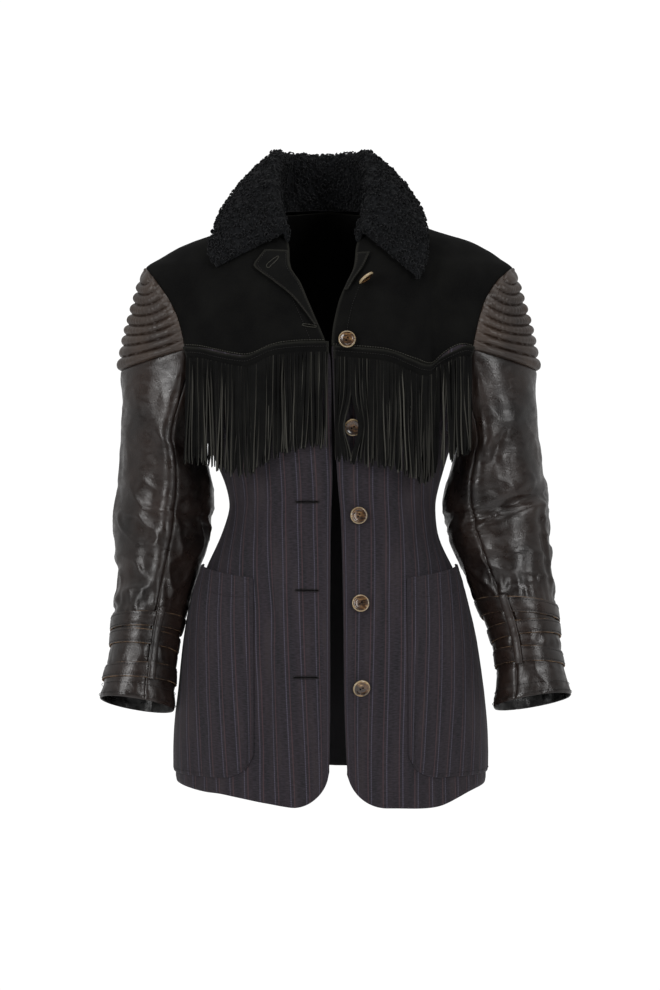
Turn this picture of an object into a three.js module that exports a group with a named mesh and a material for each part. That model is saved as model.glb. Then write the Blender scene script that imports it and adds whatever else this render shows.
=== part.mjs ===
// A fitted biker jacket: black suede yoke with a cut fringe, curly wool collar, leather shoulders
// quilted in channels, two-piece leather sleeves with three straps at each cuff, and a pinstriped
// wool body with patch pockets. It hangs open as it does when worn, as a hollow shell with walls of
// cloth. Millimetres. +Z is up, -Y is the front of the jacket, and -X is the side of the wearer's
// right arm. The origin is the middle of the neck base, where the garment hangs from the shoulders.
import * as THREE from "three";

const RIGHT = -1;
const LEFT = 1;
const SIDES = { right: RIGHT, left: LEFT };

// Driving dimensions
const SUEDE_THICK = 2.0;
const WOOL_THICK = 2.0;
const LEATHER_THICK = 2.0;
const COLLAR_THICK = 9.0; // hide and curly pile together
const SEAM_GAP = 0.3;
const LAYER_GAP = 0.8; // between a panel and what is sewn on top of it
const STRIP_HEIGHT = 15; // uncut top of the fringe strip
const STRAND_COUNT = 32; // on each front
const STRAND_THICK = 1.8;
const STRAND_SHARE = 0.62; // of the pitch from one strand to the next
const STRAND_CLEAR = 4.6; // from the cloth to a strand's outer face
const STRAND_LIFT = 2; // that a strand swings out by below the strip
const YOKE_FOLD_X = 95; // distance from the middle at which the yoke's folds start
const HEM_CORNER = 45; // radius of the rounded front corner
const CHANNEL_COUNT = 9;
const CHANNEL_RISE = 4.6;
const STRAP_THICK = 1.8;
const STRAP_LIFT = 1.2; // from the sleeve to the strap's inner face
const BUTTON_RADIUS = 10;
const BUTTON_THICK = 3.4;
const BUTTON_STAND = 2.6; // from the cloth to the back of a button
const SHOULDER_TIP_Z = -64;
const UNDERARM_Z = -265;
const CAP_BOTTOM_Z = -165; // where the quilted shoulder ends on the armhole

// Sections of the torso. right and left are half widths, front and back are depths from the side line,
// and round is the section's squareness: 2 is an ellipse.
const TORSO = [
  { z: 14, right: 66, left: 50, front: 6, back: 58, round: 2 },
  { z: 2, right: 84, left: 68, front: 20, back: 63, round: 2 },
  { z: -8, right: 104, left: 93, front: 36, back: 70, round: 2 },
  { z: -16, right: 124, left: 116, front: 50, back: 76, round: 2 },
  { z: -25, right: 142, left: 143, front: 61, back: 81, round: 2 },
  { z: -33, right: 164, left: 170, front: 69, back: 85, round: 2 },
  { z: -42, right: 185, left: 188, front: 76, back: 89, round: 2 },
  { z: -53, right: 204, left: 204, front: 82, back: 93, round: 2 },
  { z: -64, right: 221, left: 219, front: 88, back: 97, round: 2 },
  { z: -90, right: 230, left: 228, front: 98, back: 104, round: 2 },
  { z: -125, right: 226, left: 224, front: 108, back: 110, round: 2 },
  { z: -165, right: 212, left: 210, front: 117, back: 112, round: 2.05 },
  { z: -190, right: 196, left: 194, front: 121, back: 111, round: 2.1 },
  { z: -220, right: 176, left: 176, front: 121, back: 108, round: 2.15 },
  { z: -265, right: 151, left: 151, front: 113, back: 99, round: 2.2 },
  { z: -300, right: 135, left: 138, front: 102, back: 88, round: 2.2 },
  { z: -330, right: 124, left: 130, front: 93, back: 80, round: 2.2 },
  { z: -352, right: 121, left: 127, front: 90, back: 78, round: 2.2 },
  { z: -385, right: 131, left: 130, front: 93, back: 84, round: 2.2 },
  { z: -428, right: 150, left: 149, front: 103, back: 98, round: 2.25 },
  { z: -467, right: 163, left: 161, front: 110, back: 108, round: 2.3 },
  { z: -510, right: 172, left: 172, front: 116, back: 115, round: 2.35 },
  { z: -560, right: 178, left: 180, front: 119, back: 120, round: 2.4 },
  { z: -620, right: 184, left: 186, front: 121, back: 124, round: 2.4 },
  { z: -720, right: 184, left: 186, front: 122, back: 128, round: 2.4 },
];

// Distance of each front's edge from the middle plane: neckline down to -38, front opening below it.
const OPENING = [
  { z: 2, right: -80, left: 64 },
  { z: -8, right: -74, left: 58 },
  { z: -16, right: -68, left: 52 },
  { z: -26, right: -60, left: 43 },
  { z: -38, right: -50, left: 33 },
  { z: -70, right: -46, left: 28 },
  { z: -88, right: -35, left: 20 },
  { z: -107, right: -27, left: 12 },
  { z: -126, right: -19, left: 7 },
  { z: -145, right: -11, left: 3.5 },
  { z: -163, right: -4, left: 2.5 },
  { z: -182, right: 0, left: 3.5 },
  { z: -240, right: 1.5, left: 5 },
  { z: -318, right: 2.5, left: 9 },
  { z: -366, right: 1, left: 13 },
  { z: -462, right: 0, left: 15.5 },
  { z: -582, right: 0, left: 17 },
  { z: -655, right: -1, left: 20 },
  { z: -720, right: -3, left: 25 },
];

// Half width of the yoke and body at the armhole seam.
const ARMHOLE = [
  { z: -64, right: 221, left: 219 },
  { z: -72, right: 215, left: 210 },
  { z: -85, right: 205, left: 197 },
  { z: -105, right: 191, left: 184 },
  { z: -125, right: 181, left: 177 },
  { z: -145, right: 175, left: 172 },
  { z: -165, right: 171, left: 168 },
  { z: -190, right: 167, left: 165 },
  { z: -215, right: 161, left: 160 },
  { z: -240, right: 154, left: 154 },
  { z: -258, right: 151, left: 151 },
  { z: -265, right: 150.5, left: 150.5 },
];

// Height of the yoke's wavy lower edge against the distance from the middle.
const YOKE_EDGE = [
  { x: 0, right: -158, left: -163 },
  { x: 42, right: -159, left: -166 },
  { x: 68, right: -163, left: -169 },
  { x: 97, right: -174, left: -179 },
  { x: 117, right: -172, left: -184 },
  { x: 136, right: -167, left: -170 },
  { x: 152, right: -163, left: -161 },
  { x: 172, right: -161, left: -163 },
];

// Height of the hem against the distance from the middle, on each front and across the back.
const HEM = [
  { x: 0, right: -698, left: -698, back: -672 },
  { x: 42, right: -697, left: -698, back: -672 },
  { x: 75, right: -692, left: -698, back: -672 },
  { x: 110, right: -686, left: -699, back: -673 },
  { x: 130, right: -683, left: -697, back: -674 },
  { x: 148, right: -682, left: -690, back: -675 },
  { x: 168, right: -679, left: -682, back: -676 },
  { x: 190, right: -675, left: -677, back: -677 },
];

// Length of the fringe's strands against the distance from the middle.
const STRANDS = [
  { x: 0, right: 108, left: 119 },
  { x: 42, right: 111, left: 120 },
  { x: 75, right: 121, left: 121 },
  { x: 110, right: 124, left: 122 },
  { x: 132, right: 123, left: 116 },
  { x: 172, right: 120, left: 110 },
];

// Large folds of the torso cloth. Each is a soft trough, or a ridge where depth is negative.
const TORSO_FOLDS = [
  { side: LEFT, x: 127, z: -170, wide: 14, high: 105, depth: 9, lean: 0.02 },
  { side: LEFT, x: 104, z: -150, wide: 16, high: 90, depth: -3, lean: 0.02 },
  { side: LEFT, x: 150, z: -165, wide: 10, high: 70, depth: -3, lean: 0 },
  { side: RIGHT, x: 156, z: -125, wide: 14, high: 60, depth: 4, lean: -0.25 },
  { side: RIGHT, x: 120, z: -110, wide: 22, high: 80, depth: -3, lean: 0.1 },
  { side: RIGHT, x: 75, z: -545, wide: 13, high: 120, depth: 6, lean: 0.04 },
  { side: RIGHT, x: 54, z: -560, wide: 16, high: 130, depth: -3, lean: 0.02 },
  { side: LEFT, x: 66, z: -560, wide: 18, high: 140, depth: 5, lean: -0.03 },
  { side: LEFT, x: 92, z: -570, wide: 18, high: 120, depth: -3, lean: -0.03 },
];
const BACK_FOLDS = [
  { side: RIGHT, x: 74, z: -560, wide: 20, high: 130, depth: 6, lean: 0.03 },
  { side: LEFT, x: 88, z: -540, wide: 22, high: 130, depth: 5, lean: 0.04 },
  { side: RIGHT, x: 128, z: -150, wide: 18, high: 80, depth: 5, lean: 0 },
  { side: LEFT, x: 124, z: -160, wide: 18, high: 80, depth: 5, lean: 0 },
];

// Rings of a sleeve from the shoulder to the cuff. outer and inner are the x distances of its two
// sides from the middle plane, with their heights. middle and deep are the y place and half depth,
// and tilt lifts the front.
const SLEEVE_RIGHT = [
  { outer: 251, outerZ: -188, inner: 150, innerZ: -262, middle: 0, deep: 62, tilt: 0 },
  { outer: 249, outerZ: -215, inner: 150, innerZ: -284, middle: 2, deep: 67, tilt: 0 },
  { outer: 250, outerZ: -250, inner: 145, innerZ: -304, middle: 5, deep: 68, tilt: 0 },
  { outer: 252, outerZ: -290, inner: 141, innerZ: -328, middle: 8, deep: 68, tilt: 0 },
  { outer: 257, outerZ: -330, inner: 140, innerZ: -352, middle: 10, deep: 68, tilt: -0.02 },
  { outer: 259, outerZ: -370, inner: 144, innerZ: -382, middle: 8, deep: 66, tilt: 0.05 },
  { outer: 257, outerZ: -420, inner: 157, innerZ: -426, middle: 0, deep: 61, tilt: 0.14 },
  { outer: 258, outerZ: -465, inner: 169, innerZ: -468, middle: -10, deep: 55, tilt: 0.2 },
  { outer: 260, outerZ: -500, inner: 179, innerZ: -502, middle: -18, deep: 48, tilt: 0.24 },
  { outer: 262, outerZ: -530, inner: 184, innerZ: -534, middle: -25, deep: 44, tilt: 0.25 },
  { outer: 268, outerZ: -554, inner: 185, innerZ: -562, middle: -30, deep: 43, tilt: 0.25 },
  { outer: 274, outerZ: -577, inner: 184, innerZ: -591, middle: -34, deep: 45, tilt: 0.25 },
];
const SLEEVE_LEFT = [
  { outer: 248, outerZ: -188, inner: 150, innerZ: -262, middle: 0, deep: 62, tilt: 0 },
  { outer: 247, outerZ: -215, inner: 150, innerZ: -284, middle: 2, deep: 67, tilt: 0 },
  { outer: 249, outerZ: -250, inner: 145, innerZ: -304, middle: 5, deep: 68, tilt: 0 },
  { outer: 254, outerZ: -290, inner: 137, innerZ: -330, middle: 8, deep: 68, tilt: 0 },
  { outer: 261, outerZ: -330, inner: 135, innerZ: -354, middle: 10, deep: 68, tilt: -0.02 },
  { outer: 264, outerZ: -370, inner: 142, innerZ: -380, middle: 8, deep: 66, tilt: 0.05 },
  { outer: 268, outerZ: -420, inner: 158, innerZ: -425, middle: 0, deep: 61, tilt: 0.14 },
  { outer: 270, outerZ: -465, inner: 176, innerZ: -466, middle: -10, deep: 55, tilt: 0.2 },
  { outer: 273, outerZ: -500, inner: 191, innerZ: -502, middle: -18, deep: 48, tilt: 0.24 },
  { outer: 275, outerZ: -530, inner: 198, innerZ: -532, middle: -25, deep: 44, tilt: 0.25 },
  { outer: 281, outerZ: -554, inner: 198, innerZ: -562, middle: -30, deep: 43, tilt: 0.25 },
  { outer: 287, outerZ: -573, inner: 193, innerZ: -588, middle: -34, deep: 45, tilt: 0.25 },
];
const SLEEVES = { [RIGHT]: SLEEVE_RIGHT, [LEFT]: SLEEVE_LEFT };

// Large creases of the sleeves: turn is degrees round the sleeve from its front towards its outer
// side, ring is the place in the tables above, and slant is how many degrees the crease turns for
// each ring.
const SLEEVE_FOLDS = [
  { side: LEFT, turn: 20, ring: 4.2, wide: 26, long: 0.5, depth: 6, slant: -60 },
  { side: LEFT, turn: 42, ring: 5.2, wide: 18, long: 1.6, depth: -3, slant: 0 },
  { side: LEFT, turn: 110, ring: 6.3, wide: 40, long: 0.35, depth: 4, slant: 20 },
  { side: RIGHT, turn: 15, ring: 3.5, wide: 16, long: 2.6, depth: -4, slant: 0 },
  { side: RIGHT, turn: -14, ring: 3.6, wide: 18, long: 2.4, depth: 5, slant: 0 },
  { side: RIGHT, turn: 95, ring: 6.4, wide: 40, long: 0.35, depth: 4, slant: -20 },
  { side: RIGHT, turn: 200, ring: 5.2, wide: 40, long: 0.5, depth: 5, slant: 30 },
  { side: LEFT, turn: 200, ring: 5.4, wide: 40, long: 0.5, depth: 5, slant: -30 },
];

// Stations of the collar from each front end to the middle of the back: the neck seam, the roll at
// the top of the stand, the outer edge of the fall, and how far the fall bulges out between the
// last two.
const COLLAR_RIGHT = [
  { neck: [-50, -73, -39], roll: [-52, -73, -31], edge: [-133, -80, -69], bulge: 1 },
  { neck: [-62, -58, -23], roll: [-62, -54, 2], edge: [-142, -68, -53], bulge: 6 },
  { neck: [-74, -31, -8], roll: [-66, -27, 38], edge: [-136, -42, -30], bulge: 10 },
  { neck: [-80, 6, 5], roll: [-62, 10, 67], edge: [-127, 12, -9], bulge: 13 },
  { neck: [-58, 45, 9], roll: [-52, 50, 71], edge: [-88, 84, -14], bulge: 13 },
  { neck: [-9, 64, 12], roll: [-10, 69, 72], edge: [-10, 104, -16], bulge: 11 },
];
const COLLAR_LEFT = [
  { neck: [33, -73, -39], roll: [36, -73, -31], edge: [104, -97, -84], bulge: 1 },
  { neck: [45, -58, -23], roll: [45, -54, 2], edge: [112, -83, -60], bulge: 5 },
  { neck: [57, -31, -8], roll: [48, -27, 38], edge: [112, -59, -31], bulge: 9 },
  { neck: [63, 6, 5], roll: [43, 10, 67], edge: [104, -8, -2], bulge: 12 },
  { neck: [40, 45, 9], roll: [31, 50, 71], edge: [66, 84, -12], bulge: 13 },
  { neck: [-9, 64, 12], roll: [-10, 69, 72], edge: [-10, 104, -16], bulge: 11 },
];

// The top of each front edge turns outwards as a small lapel. width is how far it reaches back over
// the yoke.
const LAPELS = {
  [RIGHT]: [
    { z: -51, width: 27 },
    { z: -60, width: 34 },
    { z: -69, width: 41 },
    { z: -76, width: 38 },
    { z: -90, width: 28 },
    { z: -105, width: 16 },
    { z: -122, width: 9 },
    { z: -139, width: 4 },
  ],
  [LEFT]: [
    { z: -54, width: 15 },
    { z: -62, width: 12 },
    { z: -72, width: 9 },
    { z: -84, width: 6 },
    { z: -98, width: 4 },
  ],
};

// Buttons on the left front. Most face straight out of the cloth; facing is the way that the others
// hang. stand is the height of a button's back over the cloth, and shank the length of its thread.
const BUTTONS = [
  { x: 40, z: -86, stand: 10.6, shank: 1.6, facing: [0.62, -0.14, -0.77] },
  { x: 19.5, z: -157, stand: 3.8, shank: 3.2 },
  { x: 26, z: -257, stand: 2.6, shank: 2.2 },
  { x: 33, z: -360, stand: 2.6, shank: 1.2 },
  { x: 35, z: -462, stand: 2.6, shank: 2.2 },
  { x: 36, z: -559, stand: 2.8, shank: 2, facing: [0.2, -0.93, -0.3] },
];

const MATERIALS = {
  suede: new THREE.MeshStandardMaterial({ color: 0x15140f, roughness: 0.95, metalness: 0 }),
  wool: new THREE.MeshStandardMaterial({ color: 0x2a262a, roughness: 0.9, metalness: 0 }),
  leather: new THREE.MeshStandardMaterial({ color: 0x332b27, roughness: 0.42, metalness: 0 }),
  pile: new THREE.MeshStandardMaterial({ color: 0x0d0d10, roughness: 1, metalness: 0 }),
  horn: new THREE.MeshStandardMaterial({ color: 0x6a4327, roughness: 0.3, metalness: 0 }),
};

const jacket = new THREE.Group();
jacket.name = "biker_jacket";

const degrees = THREE.MathUtils.degToRad;
const mix = THREE.MathUtils.lerp;
const clamp = THREE.MathUtils.clamp;

// Slope of a column at row i, taken from the rows on either side of it.
function slope(rows, key, column, i) {
  const a = rows[Math.max(i - 1, 0)];
  const b = rows[Math.min(i + 1, rows.length - 1)];
  return (b[column] - a[column]) / (b[key] - a[key]);
}

// A table's column at a place between its rows, as a smooth curve through them.
function sample(rows, key, column, at) {
  const falling = rows[1][key] < rows[0][key];
  const low = falling ? rows[rows.length - 1][key] : rows[0][key];
  const high = falling ? rows[0][key] : rows[rows.length - 1][key];
  const place = clamp(at, low, high);
  let i = 0;
  while (i < rows.length - 2 && (falling ? place < rows[i + 1][key] : place > rows[i + 1][key])) i += 1;
  const span = rows[i + 1][key] - rows[i][key];
  const t = (place - rows[i][key]) / span;
  const m0 = slope(rows, key, column, i) * span;
  const m1 = slope(rows, key, column, i + 1) * span;
  const t2 = t * t;
  const t3 = t2 * t;
  return (
    (2 * t3 - 3 * t2 + 1) * rows[i][column] +
    (t3 - 2 * t2 + t) * m0 +
    (3 * t2 - 2 * t3) * rows[i + 1][column] +
    (t3 - t2) * m1
  );
}

const sideColumn = (side) => (side === RIGHT ? "right" : "left");
const signedPower = (value, power) => Math.sign(value) * Math.pow(Math.abs(value), power);

// How far the folds push the torso cloth in at a point of one side.
function torsoFold(side, x, z, front) {
  let depth = 0;
  for (const fold of front ? TORSO_FOLDS : BACK_FOLDS) {
    if (fold.side !== side) continue;
    const across = (Math.abs(x) - fold.x - fold.lean * (fold.z - z)) / fold.wide;
    const along = (z - fold.z) / fold.high;
    depth += fold.depth * Math.exp(-across * across) * Math.exp(-Math.pow(along, 4));
  }
  return depth;
}

// A point of the torso. turn is in degrees: 0 at the front middle, 90 at the side, 180 at the back
// middle.
function torsoPoint(side, turn, z) {
  const half = sample(TORSO, "z", sideColumn(side), z);
  const power = 2 / sample(TORSO, "z", "round", z);
  const s = Math.sin(degrees(turn));
  const c = Math.cos(degrees(turn));
  const front = c > 0;
  const deep = sample(TORSO, "z", front ? "front" : "back", z);
  const x = side * half * signedPower(s, power);
  const y = -deep * signedPower(c, power);
  const fold = torsoFold(side, x, z, front) * Math.min(1, Math.abs(c) * 3);
  const out = new THREE.Vector2(x / half, y / deep).normalize();
  return new THREE.Vector3(x - out.x * fold, y - out.y * fold, z);
}

// The turn at which the front or the back of the torso reaches a distance from the middle plane.
function torsoTurn(side, x, z, back = false) {
  const half = sample(TORSO, "z", sideColumn(side), z);
  const power = 2 / sample(TORSO, "z", "round", z);
  const s = clamp(signedPower((side * x) / half, 1 / power), -1, 1);
  const turn = THREE.MathUtils.radToDeg(Math.asin(s));
  return back ? 180 - turn : turn;
}

// Closes two grids of points, an outer and an inner, into one wall of cloth, and adds it to the jacket.
function addWall(name, material, outer, inner, { tube = false } = {}) {
  const rows = outer.length;
  const columns = outer[0].length;
  const positions = [];
  for (const p of [...outer.flat(), ...inner.flat()]) positions.push(p.x, p.y, p.z);
  const at = (layer, i, j) => layer * rows * columns + i * columns + (j % columns);
  const index = [];
  const quad = (a, b, c, d) => index.push(a, b, c, a, c, d);
  const lastColumn = tube ? columns : columns - 1;
  for (let i = 0; i < rows - 1; i += 1) {
    for (let j = 0; j < lastColumn; j += 1) {
      quad(at(0, i, j), at(0, i + 1, j), at(0, i + 1, j + 1), at(0, i, j + 1));
      quad(at(1, i, j), at(1, i, j + 1), at(1, i + 1, j + 1), at(1, i + 1, j));
    }
  }
  for (let j = 0; j < lastColumn; j += 1) {
    quad(at(0, 0, j), at(0, 0, j + 1), at(1, 0, j + 1), at(1, 0, j));
    quad(at(0, rows - 1, j), at(1, rows - 1, j), at(1, rows - 1, j + 1), at(0, rows - 1, j + 1));
  }
  for (let i = 0; !tube && i < rows - 1; i += 1) {
    quad(at(0, i, 0), at(1, i, 0), at(1, i + 1, 0), at(0, i + 1, 0));
    const j = columns - 1;
    quad(at(0, i, j), at(0, i + 1, j), at(1, i + 1, j), at(1, i, j));
  }
  return addSolid(name, material, positions, index);
}

// Six times the volume that the triangles enclose.
function signedVolume(positions, index) {
  const corner = (i) => new THREE.Vector3().fromArray(positions, 3 * i);
  let volume = 0;
  for (let i = 0; i < index.length; i += 3) {
    volume += corner(index[i]).dot(corner(index[i + 1]).cross(corner(index[i + 2])));
  }
  return volume;
}

// Adds a closed body, with its faces turned outwards.
function addSolid(name, material, positions, index) {
  if (signedVolume(positions, index) < 0) index.reverse();
  const geometry = new THREE.BufferGeometry();
  geometry.setAttribute("position", new THREE.Float32BufferAttribute(positions, 3));
  geometry.setIndex(index);
  geometry.computeVertexNormals();
  const mesh = new THREE.Mesh(geometry, material);
  mesh.name = name;
  jacket.add(mesh);
  return mesh;
}

const spread = (count) => Array.from({ length: count + 1 }, (_, i) => i / count);

// The front's panels share their columns, closest together at the rounded corner and the armhole fold.
const FRONT_COLUMNS = [0, 0.02, 0.07, 0.14, 0.23, 0.34, 0.46, 0.56, 0.63, 0.69, 0.75, 0.86, 1];
const SEAM_TURN = 0.12; // degrees that each panel stops short of the shoulder and side seams

// Where a front's row of cloth starts, and where it ends at the shoulder seam, armhole or side seam.
function frontSpan(side, z) {
  const start = torsoTurn(side, sample(OPENING, "z", sideColumn(side), z), z);
  return [start, outerTurn(side, z, false)];
}

function outerTurn(side, z, back) {
  const seam = back ? 90 + SEAM_TURN : 90 - SEAM_TURN;
  if (z > SHOULDER_TIP_Z || z < UNDERARM_Z) return seam;
  const edge = torsoTurn(side, side * (sample(ARMHOLE, "z", sideColumn(side), z) - SEAM_GAP), z, back);
  return back ? Math.max(edge, seam) : Math.min(edge, seam);
}

function yokeEdge(side, x) {
  return sample(YOKE_EDGE, "x", sideColumn(side), Math.abs(x));
}

// Front yokes: rows run from the neck to the wavy edge, and bend to follow it near the bottom.
const YOKE_ROWS = [0, -8, -17, -27, -39, -52, -64, -73, -88, -106, -126, -144, -158];
const YOKE_BEND = { from: -100, to: -158 };

function yokeRowHeight(side, u, row) {
  const share = clamp((YOKE_BEND.from - row) / (YOKE_BEND.from - YOKE_BEND.to), 0, 1);
  if (share === 0) return row;
  const [start, end] = frontSpan(side, row);
  const x = torsoPoint(side, mix(start, end, u), row).x;
  return row + share * (yokeEdge(side, x) - YOKE_BEND.to);
}

function frontPlace(side, u, z) {
  const [start, end] = frontSpan(side, z);
  return torsoPoint(side, mix(start, end, u), z);
}

// The normal of a torso piece is the torso's own, so that neighbouring pieces meet squarely at
// their seams.
function torsoNormal(side, turn, z) {
  const across = torsoPoint(side, turn + 1, z).sub(torsoPoint(side, turn - 1, z));
  const down = torsoPoint(side, turn, z - 1.5).sub(torsoPoint(side, turn, z + 1.5));
  return down.cross(across).normalize().multiplyScalar(side);
}

// A wall on the torso. place(u, v) gives a turn and a height, and outer and inner how far its faces
// stand off.
function addTorsoCloth(name, material, side, us, vs, place, outer, inner) {
  const offset = (value, u, v) => (typeof value === "function" ? value(u, v) : value);
  const layer = (value) =>
    vs.map((v) =>
      us.map((u) => {
        const { turn, z } = place(u, v);
        return torsoPoint(side, turn, z).addScaledVector(torsoNormal(side, turn, z), offset(value, u, v));
      }),
    );
  return addWall(name, material, layer(outer), layer(inner));
}

function addFrontYoke(label, side) {
  const place = (u, row) => {
    const z = yokeRowHeight(side, u, row);
    const [start, end] = frontSpan(side, z);
    return { turn: mix(start, end, u), z };
  };
  const name = `yoke_front_${label}`;
  addTorsoCloth(name, MATERIALS.suede, side, FRONT_COLUMNS, YOKE_ROWS, place, 0, -SUEDE_THICK);
}

// Back yoke: one piece across both shoulders, from the back neckline down to a straight seam.
const BACK_NECK_RISE = 9;
const BACK_YOKE_Z = -168;

function addBackYoke() {
  const heights = [1, -8, -18, -30, -47, SHOULDER_TIP_Z, -73, -88, -106, -126, -147, BACK_YOKE_Z];
  const across = [-1, -0.86, -0.72, -0.56, -0.4, -0.22, 0, 0.22, 0.4, 0.56, 0.72, 0.86, 1];
  const neckHalf = { [RIGHT]: 79, [LEFT]: 63 };
  const point = (s, k) => {
    const side = s < 0 ? RIGHT : LEFT;
    const share = Math.abs(s);
    const lift = k === 0 ? BACK_NECK_RISE * (1 - share * share) : (BACK_NECK_RISE * (1 - share)) / (k + 1);
    const z = heights[k] + lift;
    const outer = outerTurn(side, heights[k], true);
    const inset = k === 0 ? torsoTurn(side, side * neckHalf[side], heights[k], true) : outer;
    return { side, turn: mix(180, inset, share), z };
  };
  const layer = (offset) =>
    heights.map((_, k) =>
      across.map((s) => {
        const { side, turn, z } = point(s, k);
        return torsoPoint(side, turn, z).addScaledVector(torsoNormal(side, turn, z), offset);
      }),
    );
  addWall("yoke_back", MATERIALS.suede, layer(0), layer(-SUEDE_THICK));
}

// Wool fronts: from under the fringe down to the hem, with the rounded corner at the opening.
const FRONT_ROWS = [0, 0.06, 0.13, 0.19, 0.26, 0.32, 0.38, 0.45, 0.53, 0.62, 0.72, 0.82, 0.91, 1];

function hemHeight(side, x, back) {
  const bottom = sample(HEM, "x", back ? "back" : sideColumn(side), Math.abs(x));
  if (back) return bottom;
  const fromEdge = side * (x - sample(OPENING, "z", sideColumn(side), bottom + HEM_CORNER));
  const run = clamp(HEM_CORNER - fromEdge, 0, HEM_CORNER);
  return bottom + HEM_CORNER - Math.sqrt(HEM_CORNER ** 2 - run ** 2);
}

function frontPanelPlace(side, u, v) {
  const roughTop = frontPlace(side, u, YOKE_BEND.to);
  const roughHem = frontPlace(side, u, -660);
  const top = yokeEdge(side, roughTop.x) - SEAM_GAP;
  const bottom = hemHeight(side, roughHem.x, false);
  const z = mix(top, bottom, v);
  const [start, end] = frontSpan(side, z);
  return { turn: mix(start, end, u), z };
}

function addFrontPanel(label, side) {
  const place = (u, v) => frontPanelPlace(side, u, v);
  addTorsoCloth(`front_${label}`, MATERIALS.wool, side, FRONT_COLUMNS, FRONT_ROWS, place, 0, -WOOL_THICK);
}

// Wool backs: two panels that meet at a seam down the middle.
const BACK_COLUMNS = spread(8);

function addBackPanel(label, side) {
  const place = (u, v) => {
    const across = side * mix(0, 165, u);
    const bottom = hemHeight(side, across, true);
    const z = mix(BACK_YOKE_Z - SEAM_GAP, bottom, v);
    return { turn: mix(180 - SEAM_TURN, outerTurn(side, z, true), u), z };
  };
  addTorsoCloth(`back_${label}`, MATERIALS.wool, side, BACK_COLUMNS, FRONT_ROWS, place, 0, -WOOL_THICK);
}

// The y place of whatever the strands lie on at a point of a front: its cloth, or a button sewn on it.
function clothFront(side, x, z) {
  const cloth = torsoPoint(side, torsoTurn(side, x, z), z).y;
  const near = (b) => Math.abs(x - b.x) < 14 && Math.abs(z - b.z) < 45;
  const covered = side === LEFT && z < -200 && BUTTONS.some(near);
  return covered ? cloth - BUTTON_THICK - BUTTON_STAND : cloth;
}

// Fringe: an uncut strip sewn under the yoke's edge, cut below into strands that hang from it.
function strandSway(i, side) {
  return 2.2 * Math.sin(0.35 * i + side) + 0.8 * Math.sin(0.7 * i + 2 * side);
}

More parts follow.
